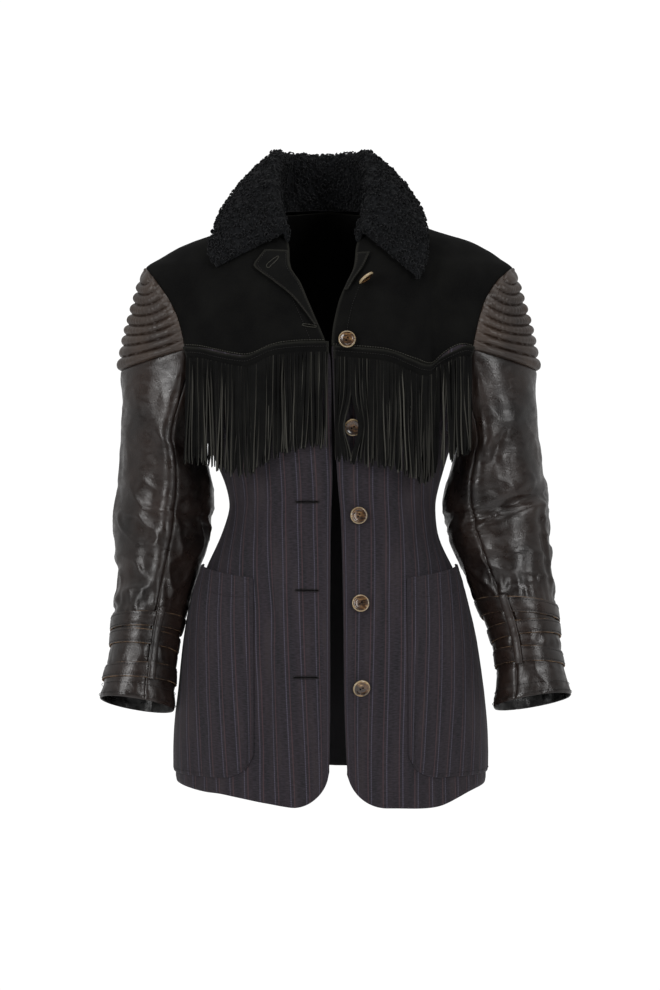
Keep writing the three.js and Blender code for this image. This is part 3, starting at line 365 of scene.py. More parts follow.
def mark(mesh, name, values):
    """Stores a number for each point of a mesh, for its material to read."""
    mesh.attributes.new(name, "FLOAT", "POINT").data.foreach_set("value", np.asarray(values, np.float32))


def wall(name, outer, inner, finish, tube=False, lip=0.6, cut=None):
    """Closes an outer and an inner grid of points into one wall of cloth with rounded edges. Its UV map is
    the cloth's own, in metres, and its attribute rim is the distance from its nearest edge. cut finishes
    the raw edges."""
    rows, columns = outer.shape[:2]
    wide = columns + 1 if tube else columns
    laid = np.concatenate([outer, outer[:, :1]], 1) if tube else outer
    across, along = lengths(laid, 1), lengths(laid, 0)
    uv = np.stack([across, along], -1) / 1000
    rim = np.minimum(along, along[-1:] - along)
    if not tube:
        rim = np.minimum(rim, np.minimum(across, across[:, -1:] - across))
    top, bottom = np.arange(wide), np.arange(wide)[::-1]
    if tube:
        loops = [(np.zeros(wide, int), top), (np.full(wide, rows - 1), bottom)]
    else:
        down = np.arange(1, rows)
        i = np.concatenate([np.zeros(wide, int), down, np.full(wide - 1, rows - 1), down[::-1][1:], [0]])
        j = np.concatenate([top, np.full(rows - 1, wide - 1), bottom[1:], np.zeros(rows - 2, int), [0]])
        loops = [(i, j)]
    ids = np.arange(rows * columns).reshape(rows, columns)
    ii, jj = np.meshgrid(np.arange(rows - 1), np.arange(wide - 1), indexing="ij")
    turns = [(0, 0), (1, 0), (1, 1), (0, 1)]
    face = np.stack([ids[ii + a, (jj + b) % columns] for a, b in turns], -1).reshape(-1, 4)
    place = np.stack([uv[ii + a, jj + b] for a, b in turns], -2).reshape(-1, 4, 2)
    layer = rows * columns
    points, faces, places, marks = [outer.reshape(-1, 3), inner.reshape(-1, 3)], [face], [place], []
    faces.append(face[:, ::-1] + layer)
    places.append(place[:, ::-1])
    edge_first = 2 * len(face)
    base = 2 * layer
    for i, j in loops:
        k = j % columns
        within = np.clip(i, 1, rows - 2), k if tube else np.clip(k, 1, columns - 2)
        out = unit(outer[i, k] - outer[within])
        count = len(i) - 1
        points.append(((outer[i, k] + inner[i, k]) / 2 + lip * out)[:count])
        marks.append(uv[i, j][:count])
        n = np.arange(count)
        m = (n + 1) % count
        o, lips = ids[i, k], base + n
        first, second = o[:-1], o[1:]
        ends = base + m
        faces.append(np.stack([first, second, ends, lips], -1))
        faces.append(np.stack([lips, ends, second + layer, first + layer], -1))
        place = np.stack([uv[i, j][:-1], uv[i, j][1:], uv[i, j][1:], uv[i, j][:-1]], -2)
        places += [place, place]
        base += count
    points, faces, places = np.concatenate(points) / 1000, np.concatenate(faces), np.concatenate(places)
    a, b, c, d = (points[faces[:, n]] for n in range(4))
    if (np.cross(b, c) * a).sum() + (np.cross(c, d) * a).sum() < 0:
        faces, places = faces[:, ::-1], places[:, ::-1]
    mesh = bpy.data.meshes.new(name)
    mesh.from_pydata(points.tolist(), [], faces.tolist())
    mesh.uv_layers.new(name="cloth").data.foreach_set("uv", places.reshape(-1).astype(np.float32))
    near = np.zeros(len(points))
    near[:layer] = rim[:, :columns].reshape(-1) / 1000
    near[layer : 2 * layer] = near[:layer]
    mark(mesh, "rim", near)
    skin = np.ones(len(points))
    skin[layer : 2 * layer] = 0
    mark(mesh, "face_side", skin)
    mesh.materials.append(finish)
    if cut:
        mesh.materials.append(cut)
        index = np.zeros(len(faces), np.int32)
        index[edge_first:] = 1
        mesh.polygons.foreach_set("material_index", index)
    mesh.shade_smooth()
    mesh.set_sharp_from_angle(angle=math.radians(58))
    return placed(name, mesh)


def torso_cloth(side, turn, z, outer, inner):
    """The two faces of a piece of cloth that lies on the torso, each so far out from it."""
    surface, normal = torso_point(side, turn, z), torso_normal(side, turn, z)
    lift = [np.broadcast_to(value, turn.shape)[..., None] for value in (outer, inner)]
    return surface + normal * lift[0], surface + normal * lift[1]


def ripple(points, size, seed):
    """Smooth uneven heights from -1 to 1 with lumps about size across."""
    spots = (points.reshape(-1, 3) / size + seed).tolist()
    return np.array([noise.noise(spot) for spot in spots]).reshape(points.shape[:-1])


def wool_drape(surface):
    """How unevenly the wool lies."""
    return 0.7 * ripple(surface, 46, 3) + 0.25 * ripple(surface, 17, 9)


def suede_drape(surface):
    """How unevenly the suede lies."""
    return 0.9 * ripple(surface, 38, 5) + 0.3 * ripple(surface, 13, 2)


def seam_roll(points, deep=0.9, wide=2.6):
    """How far the cloth turns down beside its edges, as it does into a seam."""
    across, along = lengths(points, 1), lengths(points, 0)
    near = np.minimum(np.minimum(across, across[:, -1:] - across), np.minimum(along, along[-1:] - along))
    return -deep * bell(near, 0, wide)


def linear(colour):
    """A surface colour for a shader, from its sRGB hex value."""
    parts = [int(colour[i : i + 2], 16) / 255 for i in (1, 3, 5)]
    return tuple(p / 12.92 if p <= 0.04045 else ((p + 0.055) / 1.055) ** 2.4 for p in parts) + (1,)


def tune(node, inputs):
    """Sets a node's inputs. Each is a value or another node's output."""
    for name, value in inputs.items():
        if isinstance(value, bpy.types.NodeSocket):
            node.id_data.links.new(value, node.inputs[name])
        else:
            node.inputs[name].default_value = value


def add(tree, kind, inputs=None, **settings):
    """Adds a node to a tree with its settings and inputs."""
    made = tree.nodes.new(kind)
    for name, value in settings.items():
        setattr(made, name, value)
    tune(made, inputs or {})
    return made


def blank(name):
    """A new material's tree, with its shader."""
    made = bpy.data.materials.new(name)
    made.use_nodes = True
    return made, made.node_tree, made.node_tree.nodes["Principled BSDF"]


def shades(tree, driver, stops):
    """A colour ramp from sRGB hex values at places from 0 to 1."""
    ramp = add(tree, "ShaderNodeValToRGB", {"Fac": driver})
    for k, (place, colour) in enumerate(stops):
        spot = ramp.color_ramp.elements[k] if k < 2 else ramp.color_ramp.elements.new(place)
        spot.position = place
        spot.color = linear(colour)
    return ramp.outputs["Color"]


def speckle(tree, vector, scale, detail=2.0, distortion=0.0):
    """Smooth noise from 0 to 1."""
    inputs = {"Vector": vector, "Scale": scale, "Detail": detail, "Distortion": distortion}
    return add(tree, "ShaderNodeTexNoise", inputs).outputs["Fac"]


def maths(tree, operation, *values):
    """The result of one Math node."""
    return add(tree, "ShaderNodeMath", dict(enumerate(values)), operation=operation).outputs[0]


def marked(tree, name):
    """The number that mark stored in a mesh under a name."""
    return add(tree, "ShaderNodeAttribute", attribute_name=name).outputs["Fac"]


def bumped(tree, height, strength, distance, **under):
    """A normal that follows small heights."""
    inputs = {"Height": height, "Strength": strength, "Distance": distance, **under}
    return add(tree, "ShaderNodeBump", inputs).outputs[0]


def own_place(tree):
    """Places in the piece's own coordinates."""
    return add(tree, "ShaderNodeTexCoord").outputs["Object"]


def blend(tree, share, low, high):
    """One colour over another. Either is a socket or an sRGB hex value."""
    low, high = (linear(colour) if isinstance(colour, str) else colour for colour in (low, high))
    node = add(tree, "ShaderNodeMix", data_type="RGBA")
    tune(node, {0: share, 6: low, 7: high})
    return node.outputs[2]


def fade(tree, value, low, high, to_low=0.0, to_high=1.0):
    """A value taken smoothly from one range to another."""
    ranged = {"Value": value, "From Min": low, "From Max": high, "To Min": to_low, "To Max": to_high}
    return add(tree, "ShaderNodeMapRange", ranged, interpolation_type="SMOOTHSTEP").outputs["Result"]


STRIPE_PITCH = 18.6  # from one pair of stripes to the next
STRIPE_APART = 4.2  # between the two stripes of a pair
STRIPE_HALF = 0.5  # half a stripe's width
DOT_PITCH = 2.6  # from one dot of a stripe to the next


def pinstripe_worsted():
    """Worsted wool suiting, woven and pressed: dull, faintly heathered, with stripes of single yarns that
    the weft breaks into dots. The weave is drawn about 1.3 mm coarse, because 0.4 mm wouldn't show."""
    made, tree, shader = blank("pinstripe_worsted")
    uv = add(tree, "ShaderNodeUVMap", uv_map="cloth").outputs["UV"]
    parts = add(tree, "ShaderNodeSeparateXYZ", {"Vector": uv})
    across, along = parts.outputs["X"], parts.outputs["Y"]

    def yarn(offset):
        within = maths(tree, "FRACT", maths(tree, "MULTIPLY_ADD", across, 1000 / STRIPE_PITCH, offset))
        apart = maths(tree, "ABSOLUTE", maths(tree, "SUBTRACT", within, 0.5))
        half = STRIPE_HALF / STRIPE_PITCH
        return fade(tree, apart, half * 1.7, half * 0.4)

    cool, rust = yarn(0.0), yarn(STRIPE_APART / STRIPE_PITCH)
    dots = maths(tree, "SINE", maths(tree, "MULTIPLY", along, 2 * math.pi * 1000 / DOT_PITCH))
    dots = fade(tree, dots, -1.0, 1.0, 0.35, 1.0)
    streaks = add(tree, "ShaderNodeMapping", {"Vector": uv, "Scale": (95, 9, 1)})
    heather = speckle(tree, streaks.outputs[0], 1.0, 5.0)
    threads = add(tree, "ShaderNodeMapping", {"Vector": uv, "Scale": (170, 760, 1)})
    weave = speckle(tree, threads.outputs[0], 1.0, 2.0)
    ground = shades(tree, heather, [(0.32, "#1e1d20"), (0.52, "#262226"), (0.68, "#2e292b")])
    ground = blend(tree, fade(tree, weave, 0.35, 0.7, 0.0, 0.5), ground, "#38333a")
    shown = maths(tree, "MULTIPLY", maths(tree, "MULTIPLY", cool, dots), 0.5)
    striped = blend(tree, shown, ground, "#625f70")
    striped = blend(tree, maths(tree, "MULTIPLY", rust, 0.36), striped, "#5c4446")
    striped = blend(tree, marked(tree, "face_side"), "#141315", striped)
    tune(shader, {"Base Color": striped, "Normal": bumped(tree, weave, 0.3, 0.0004), "Roughness": 0.88})
    tune(shader, {"Specular IOR Level": 0.16, "Sheen Weight": 0.06, "Sheen Roughness": 0.5})
    return made


WORSTED = pinstripe_worsted()
FRONT_COLUMNS = [0, 0.02, 0.07, 0.14, 0.23, 0.34, 0.46, 0.56, 0.63, 0.69, 0.75, 0.86, 1]


def spread(places, count):
    """A number of places, spaced as a short list has them."""
    return np.interp(np.linspace(0, len(places) - 1, count), range(len(places)), places)


def sew_up(piece, slot, *nodes):
    """Fixes a finished piece to the jacket in place of its solids."""
    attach(piece, "root")
    if nodes:
        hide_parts(*nodes)


for label, side in SIDES.items():
    for panel, place, us in (
        ("front", front_place, spread(FRONT_COLUMNS, 92)),
        ("back", back_place, np.linspace(0, 1, 76)),
    ):
        turn, z = place(side, *grid(us, np.linspace(0, 1, 104)))
        surface = torso_point(side, turn, z)
        soft = wool_drape(surface)
        if panel == "back":
            soft = soft - 2.2 * np.clip((z - BACK_YOKE_Z) / 3, 0, 1)
        outer, inner = torso_cloth(side, turn, z, soft + seam_roll(surface), soft - WOOL_THICK)
        name = f"{panel}_{label}"
        piece = wall(f"wool_{name}", outer, inner, WORSTED, lip=0.9)
        sew_up(piece, "pinstripe", name)
        over = f"suede_yoke_{label}" if panel == "front" else "suede_yoke_back"

# Patch pockets
# A wool patch on each hip with a slanted mouth, its stripes running down with the front's. The edges are
# turned under and sewn down with dark thread, and the mouth has a wide turned hem that stands open a little.
POCKET = {
    "inner_x": 90,
    "outer_turn": 88.5,
    "top": -434,
    "outer_top": -421,
    "bottom": -664,
    "wide": 110,
    "long": 240,
    "corner": 26,
    "stand": 0.9,
    "flare": 10,
}


def pocket_place(side, u, v):
    run = np.clip(POCKET["corner"] - u * POCKET["wide"], 0, POCKET["corner"])
    bottom = POCKET["bottom"] + POCKET["corner"] - np.sqrt(POCKET["corner"] ** 2 - run**2)
    z = mix(mix(POCKET["top"], POCKET["outer_top"], u), bottom, v)
    return mix(torso_turn(side, side * POCKET["inner_x"], z), POCKET["outer_turn"], u), z


def pocket_stand(u, v):
    flare = POCKET["flare"] * u * u * (1 - 0.85 * u**4) * np.exp(-1.6 * (v * 2) ** 2)
    down = v * POCKET["long"]
    mouth = 0.9 * bell(down, 0, 5) - 0.5 * bell(down, 24, 2.2)
    return POCKET["stand"] + flare + mouth


def thread(name, colour):
    """Twisted polyester sewing thread: smooth, round, with a slight gloss along its top."""
    made, tree, shader = blank(name)
    spot = own_place(tree)
    ply = speckle(tree, spot, 900.0, 1.0)
    colour = blend(tree, ply, colour, "#0c0b0a")
    tune(shader, {"Base Color": colour, "Roughness": 0.55, "Specular IOR Level": 0.3})
    return made


def grower(name, numbers, finish):
    """A new Geometry Nodes tree with inputs for a mesh, some numbers and a material, and its group input."""
    tree = bpy.data.node_groups.new(name, "GeometryNodeTree")
    face = tree.interface
    face.new_socket("Geometry", in_out="INPUT", socket_type="NodeSocketGeometry")
    for number in numbers:
        face.new_socket(number, in_out="INPUT", socket_type="NodeSocketFloat")
    face.new_socket(finish, in_out="INPUT", socket_type="NodeSocketMaterial")
    face.new_socket("Geometry", in_out="OUTPUT", socket_type="NodeSocketGeometry")
    return tree, add(tree, "NodeGroupInput").outputs


def set_out(tree, spots, thing, facing, size, finish):
    """Ends a tree: one thing on each spot, made real, smooth and of one material."""
    inputs = {"Points": spots, "Instance": thing, "Rotation": facing, "Scale": size}
    laid = add(tree, "GeometryNodeInstanceOnPoints", inputs)
    real = add(tree, "GeometryNodeRealizeInstances", {0: laid.outputs[0]})
    smooth = add(tree, "GeometryNodeSetShadeSmooth", {0: real.outputs[0]})
    dyed = add(tree, "GeometryNodeSetMaterial", {0: smooth.outputs[0], "Material": finish})
    add(tree, "NodeGroupOutput", {0: dyed.outputs[0]})


def stitch_tree():
    """Geometry Nodes: one short stitch after another along each path, as a thin rounded bead of thread."""
    tree, given = grower("stitches_along_paths", ("Pitch", "Length", "Thickness"), "Thread")
    path = add(tree, "GeometryNodeMeshToCurve", {"Mesh": given["Geometry"]})
    cut = {"Curve": path.outputs[0], "Length": given["Pitch"]}
    spots = add(tree, "GeometryNodeResampleCurve", cut, mode="LENGTH")
    along = add(tree, "GeometryNodeInputTangent")
    facing = add(tree, "FunctionNodeAlignRotationToVector", {"Vector": along.outputs[0]}, axis="Z")
    bead = add(tree, "GeometryNodeMeshIcoSphere", {"Radius": 0.5, "Subdivisions": 1})
    thick = given["Thickness"]
    size = add(tree, "ShaderNodeCombineXYZ", {0: thick, 1: thick, 2: given["Length"]})
    set_out(tree, spots.outputs[0], bead.outputs[0], facing.outputs[0], size.outputs[0], given["Thread"])
    return tree


STITCHES = stitch_tree()


def grown(name, mesh, tree, **sizes):
    """The plain mesh that a Geometry Nodes tree makes from a mesh, with its named inputs set."""
    made = placed(name, mesh)
    maker = made.modifiers.new("maker", "NODES")
    maker.node_group = tree
    for item in tree.interface.items_tree:
        if item.in_out == "INPUT" and item.name in sizes:
            maker[item.identifier] = sizes[item.name]
    depsgraph = bpy.context.evaluated_depsgraph_get()
    plain = bpy.data.meshes.new_from_object(made.evaluated_get(depsgraph))
    made.modifiers.clear()
    made.data = plain
    plain.name = name
    return made


def sew(name, paths, thread, slot, pitch=3.2, length=2.3, thick=0.8):
    """Rows of stitches along paths, each an array of points in millimetres, joined in one piece."""
    points, edges = [], []
    for path in paths:
        edges += [(len(points) + k, len(points) + k + 1) for k in range(len(path) - 1)]
        points += path.tolist()
    sizes = {"Pitch": pitch / 1000, "Length": length / 1000, "Thickness": thick / 1000, "Thread": thread}
    sew_up(grown(name, mesh_of(name, points, edges, []), STITCHES, **sizes), slot)


DARK_THREAD = thread("dark_thread", "#1b1817")


def on_torso(side, turn, z, lift):
    """Points lifted off the torso's surface."""
    return torso_point(side, turn, z) + torso_normal(side, turn, z) * np.asarray(lift)[..., None]


pocket_paths = []
for label, side in SIDES.items():
    u, v = grid(np.linspace(0, 1, 60) ** 0.8, np.linspace(0, 1, 76))
    turn, z = pocket_place(side, u, v)
    stand = pocket_stand(u, v)
    surface = torso_point(side, turn, z)
    soft = wool_drape(surface)
    roll = seam_roll(surface, 0.8, 2.0) * (v > 0.03)
    outer, inner = torso_cloth(side, turn, z, soft + stand + WOOL_THICK + roll, soft + stand)
    piece = wall(f"wool_pocket_{label}", outer, inner, WORSTED, lip=0.9)
    sew_up(piece, "pinstripe", f"pocket_{label}")
    down = np.linspace(0.01, 0.985, 60)
    inner_edge = on_torso(side, *pocket_place(side, 0.035, down), pocket_stand(0.035, down) + 2.1)
    around = np.linspace(0.035, 0.99, 50)
    low_edge = on_torso(side, *pocket_place(side, around, 0.985), 3.0)
    hem = on_torso(side, *pocket_place(side, around, 0.1), pocket_stand(around, 0.1) + 2.1)
    pocket_paths += [inner_edge, low_edge, hem]
sew("stitching_pockets", pocket_paths, DARK_THREAD, "pinstripe", thick=0.6)

# Suede yokes
# Black cow suede, brushed nap outwards, covers the shoulders to a wavy seam across the chest. Each front
# edge is turned in and topstitched, and the back is one piece across both shoulders.
SUEDE_THICK = 2.0
YOKE_ROWS = [0, -8, -17, -27, -39, -52, -64, -73, -88, -106, -126, -144, -158]
BACK_YOKE_ROWS = [1, -8, -18, -30, -47, -64, -73, -88, -106, -126, -147, BACK_YOKE_Z]
YOKE_BEND = {"from": -100, "to": -158}


def brushed_suede(name, dark, light, worn):
    """Cow suede, brushed: no shine, a soft nap that lies lighter and darker in patches, and pale fibres on
    its worn edges. The nap is drawn 1 to 2 mm coarse, because real fibres are too fine to show."""
    made, tree, shader = blank(name)
    spot = own_place(tree)
    patches = speckle(tree, spot, 26.0, 4.0)
    nap = speckle(tree, spot, 620.0, 3.0)
    colour = shades(tree, patches, [(0.35, dark), (0.68, light)])
    colour = blend(tree, fade(tree, nap, 0.45, 0.75, 0.0, 0.5), colour, light)
    edge = fade(tree, marked(tree, "rim"), 0.0035, 0.0, 0.0, 0.6)
    colour = blend(tree, maths(tree, "MULTIPLY", edge, nap), colour, worn)
    tune(shader, {"Base Color": colour, "Normal": bumped(tree, nap, 0.35, 0.0005), "Roughness": 0.96})
    tune(shader, {"Specular IOR Level": 0.04, "Sheen Weight": 0.015, "Sheen Roughness": 0.6})
    return made


SUEDE = brushed_suede("brushed_suede", "#0a0a0a", "#111110", "#34342f")
PALE_THREAD = thread("waxed_thread", "#55544b")


def yoke_place(side, u, row):
    share = np.clip((YOKE_BEND["from"] - row) / (YOKE_BEND["from"] - YOKE_BEND["to"]), 0, 1)
    z = row + share * (yoke_seam(side, front_turn(side, u, row), row) - YOKE_BEND["to"])
    return front_turn(side, u, z), z


def back_yoke_half(side, shares, rows):
    """The turn and height of one half of the back yoke, from the middle of the back outwards."""
    neck_half = 79 if side == RIGHT else 63
    share, z = grid(shares, rows)
    first = np.exp(-np.arange(len(rows)) / 2.2)[:, None]
    turn = mix(180, outer_turn(side, z, True), share)
    neck = mix(180, torso_turn(side, side * neck_half, z, True), share)
    turn = mix(turn, neck, np.arange(len(rows))[:, None] == 0)
    return turn, z + 9 * first * (1 - share)


seam_paths, edge_paths = [], []
for label, side in SIDES.items():
    turn, z = yoke_place(side, *grid(spread(FRONT_COLUMNS, 84), spread(YOKE_ROWS, 80)))
    surface = torso_point(side, turn, z)
    soft = suede_drape(surface)
    outer, inner = torso_cloth(side, turn, z, soft + seam_roll(surface, 0.7, 2.2), soft - SUEDE_THICK)
    piece = wall(f"suede_yoke_{label}", outer, inner, SUEDE, lip=0.7)
    sew_up(piece, "suede", f"yoke_front_{label}")
    u = np.linspace(0.01, 0.985, 90)
    turn, z = yoke_place(side, u, YOKE_BEND["to"] + 1)
    seam_paths.append(on_torso(side, turn, z + 0.6, 1.1))
    down = np.linspace(-95, -157, 40)
    start, _ = front_span(side, down)
    edge_paths.append(on_torso(side, start + 4.2, down, 0.9))
sew("stitching_yoke_seam", seam_paths, PALE_THREAD, "suede", pitch=3.0, length=2.4, thick=0.95)

halves = []
rows = spread(BACK_YOKE_ROWS, 70)
for side, shares in ((RIGHT, np.linspace(1, 0, 50)), (LEFT, np.linspace(0, 1, 50)[1:])):
    turn, z = back_yoke_half(side, shares, rows)
    surface = torso_point(side, turn, z)
    soft = suede_drape(surface)
    halves.append(torso_cloth(side, turn, z, soft, soft - SUEDE_THICK))
outer, inner = (np.concatenate([halves[0][k], halves[1][k]], 1) for k in (0, 1))
back_yoke = wall("suede_yoke_back", outer, inner, SUEDE, lip=0.7)
sew_up(back_yoke, "suede", "yoke_back")
sew("stitching_back_yoke", [outer[-3]], PALE_THREAD, "suede", pitch=3.0, length=2.4, thick=0.95)

# Lapel turn-backs
# The top of each front edge turns out over the yoke as a small soft lapel of the same suede, rubbed pale at
# its edges. It is the yoke's own front edge folded back, and it is topstitched near its rim.
LAPELS = {
    RIGHT: table(
        "z width",
        [(-51, 27), (-60, 34), (-69, 41), (-76, 38), (-90, 28), (-105, 16), (-122, 9), (-139, 4)],
    ),
    LEFT: table("z width", [(-54, 15), (-62, 12), (-72, 9), (-84, 6), (-98, 4)]),
}
RUBBED_SUEDE = brushed_suede("rubbed_suede", "#0b0b0b", "#141413", "#3b3a34")


def lapel_place(side, u, z):
    edge = sample(OPENING, "z", side_name(side), z) + side * 0.6
    return torso_turn(side, edge + side * sample(LAPELS[side], "z", "width", z) * u, z), z


def lapel_rise(u):
    return 0.8 + 1.4 * np.sin(np.pi * np.minimum(u, 0.5)) + u * u


for label, side in SIDES.items():
    heights = LAPELS[side]["z"]
    u, z = grid(np.linspace(0, 1, 26), np.linspace(heights[0], heights[-1], 60))
    turn, z = lapel_place(side, u, z)
    rise = lapel_rise(u) + 0.3 * ripple(torso_point(side, turn, z), 11, 4)
    outer, inner = torso_cloth(side, turn, z, rise + SUEDE_THICK, rise)
    piece = wall(f"suede_lapel_{label}", outer, inner, RUBBED_SUEDE, lip=0.7)
    sew_up(piece, "suede", f"lapel_{label}")
    down = np.linspace(heights[0] - 1, heights[-1] + 1, 40)
    for u in (0.9, 0.1):
        edge_paths.append(on_torso(side, *lapel_place(side, u, down), lapel_rise(u) + SUEDE_THICK + 0.15))
sew("stitching_suede_edges", edge_paths, DARK_THREAD, "suede", pitch=3.0, length=2.2, thick=0.7)

# Fringe
# A strip of the same suede is caught in the yoke seam and cut below into strands 3 to 4 mm wide in two
# layers. The strands twist as they hang, so their pale raw edges show as long thin lines.
STRIP_HEIGHT = 15
STRIP_Z = -176.0
THIRD_BUTTON = (26, -257)
STRANDS_A_LAYER = 44
STRAND_WIDE = 3.7
STRAND_THICK = 1.5
STRANDS = table(
    "x right left",
    [(0, 108, 119), (42, 111, 120), (75, 121, 121), (110, 124, 122), (132, 123, 116), (172, 120, 110)],
)
CUT_SUEDE = brushed_suede("cut_suede", "#0b0b0b", "#151514", "#4a4a43")


def raw_edges(material):
    """Pale raw fibres on the strands' narrow cut sides, which their tilt turns to the light."""
    tree = material.node_tree
    shader = tree.nodes["Principled BSDF"]
    under = shader.inputs["Base Color"].links[0].from_socket
    share = maths(tree, "MULTIPLY", marked(tree, "raw"), marked(tree, "shade"))
    tune(shader, {"Base Color": blend(tree, share, under, "#484742")})


raw_edges(CUT_SUEDE)


def cover(side, x, z):
    """How far the cloth front is raised by the button under the fringe."""
    near = bell(x, THIRD_BUTTON[0], 15, 4) * bell(z, THIRD_BUTTON[1], 46, 4)
    return 6.0 * near * (side == LEFT)


def parting(side, root_x, x, z):
    """How far a strand is held aside by the button that stands out between the strands."""
    near = bell(x, THIRD_BUTTON[0], 12) * bell(z, THIRD_BUTTON[1], 24)
    return 9.0 * near * (side == LEFT) * (1 if root_x > THIRD_BUTTON[0] else -1)


def strands(side, roots, layer, rng, points, faces, raw, shade):
    """Adds a layer of strands, rods of four sides, to lists of points, faces, raw edges and shades."""
    steps = np.linspace(0, 1, 15)
    for n, turn in enumerate(roots):
        top = yoke_seam(side, turn, STRIP_Z) - STRIP_HEIGHT + 2
        root = on_torso(side, np.array([turn]), np.array([top]), np.array([1.4 + 1.3 * layer]))[0]
        length = float(sample(STRANDS, "x", side_name(side), abs(root[0])))
        length = length * (0.97 + 0.05 * rng.random()) + 2 - 3 * (1 - layer)
        drop = steps * length
        # The strands gather in bunches towards their tips.
        bunch = 3.4 * np.sin(root[0] / 7.5 + 2 * layer) + 2.2 * np.sin(root[0] / 3.1 + 1)
        wave = 0.9 * np.sin(steps * rng.uniform(3, 7) + rng.uniform(0, 6)) * steps
        x = root[0] + (bunch + rng.normal(0, 1.2)) * steps**1.4 * 0.8 + wave
        z = root[2] - drop
        x = x + parting(side, root[0], x, z)
        over = np.clip(np.abs(x), 0, BODY_HALF) * side
        cloth = torso_point(side, torso_turn(side, over, z), z)[..., 1] - cover(side, x, z)
        # They hang plumb or clear of the cloth, whichever is further forward.
        inwards = max(0, min(1, (150 - abs(root[0])) / 40))
        plumb = root[1] - 1.2 * np.minimum(1, steps * 5) + 0.04 * drop * inwards
        clear = np.minimum(cloth - 2.2 - 2.1 * layer, plumb)
        y = np.where(np.abs(x) < 95, clear, plumb - 0.8 * layer)
        # Each twists by its own amount, and about one in five turns edge on.
        twist = rng.normal(0, 0.35) + rng.normal(0, 1.0) * steps ** rng.uniform(0.5, 1.4)
        if rng.random() < 0.22:
            twist = twist + rng.choice([-1, 1]) * 1.25 * np.minimum(1, steps * 4)
        breadth = STRAND_WIDE / 2 * rng.uniform(0.85, 1.12) * np.where(steps < 0.985, 1, 0.45)
        lean = torso_normal(side, np.array(turn), np.array(top))
        angle = twist + math.atan2(lean[0], -lean[1])
        wide = np.stack([np.cos(angle), np.sin(angle), 0 * angle], -1) * breadth[:, None]
        deep = np.stack([-np.sin(angle), np.cos(angle), 0 * angle], -1) * STRAND_THICK / 2
        spine = np.stack([x, y, z], -1)
        slant = np.zeros_like(spine)
        slant[-1, 2] = rng.uniform(-2.5, 2.5)
        near, far = spine - deep, spine + deep
        corners = [near - wide - slant, near + wide + slant, far + wide + slant, far - wide - slant]
        # Each corner is there twice, so that the flat sides and the raw ones keep their own shade.
        ring = np.stack([corners[k] for k in (0, 1, 1, 2, 2, 3, 3, 0)], 1)
        base = len(points)
        points += ring.reshape(-1, 3).tolist()
        tone = 0.25 + 0.75 * rng.random() ** 1.3
        raw += [0, 0, 1, 1, 0, 0, 1, 1] * len(steps)
        shade += [tone] * (8 * len(steps))
        for i in range(len(steps) - 1):
            a, b = base + 8 * i, base + 8 * (i + 1)
            faces += [(a + k, b + k, b + k + 1, a + k + 1) for k in (0, 2, 4, 6)]
        faces.append(tuple(base + 8 * (len(steps) - 1) + k for k in (0, 7, 5, 3)))
        faces.append(tuple(base + k for k in (0, 1, 3, 5)))


rng = np.random.default_rng(7)
strip_paths = []
for label, side in SIDES.items():
    start = float(torso_turn(side, sample(OPENING, "z", side_name(side), STRIP_Z) + side, STRIP_Z))
    end = float(outer_turn(side, np.array(-172.0), False)) - 1.2
    turns = np.linspace(start, end, 120)
    turn, drop = grid(turns, np.linspace(0, STRIP_HEIGHT, 9))
    z = yoke_seam(side, turn, STRIP_Z) - STRIP_GAP - drop
    outer, inner = torso_cloth(side, turn, z, 2.5 + 0.5 * drop / STRIP_HEIGHT, 0.7)
    piece = wall(f"fringe_strip_{label}", outer, inner, SUEDE, lip=0.4)
    sew_up(piece, "suede", f"fringe_{label}")
    points, faces, raw, shade = [], [], [], []
    for layer in (0, 1):
        half_step = 0.5 * (end - start) / STRANDS_A_LAYER * layer
        roots = np.minimum(np.linspace(start + 0.6, end - 0.6, STRANDS_A_LAYER) + half_step, end - 0.5)
        strands(side, roots, layer, rng, points, faces, raw, shade)
    mesh = mesh_of(f"fringe_strands_{label}", points, [], faces, CUT_SUEDE)
    for name, values in (("raw", raw), ("shade", shade), ("rim", np.full(len(points), 0.01))):
        mark(mesh, name, values)
    hung = placed(mesh.name, mesh)
    sew_up(hung, "suede")
    strip_paths.append(on_torso(side, turns, yoke_seam(side, turns, STRIP_Z) - 6.5, 2.95))
sew("stitching_fringe_strip", strip_paths, DARK_THREAD, "suede", pitch=3.0, length=2.3, thick=0.8)

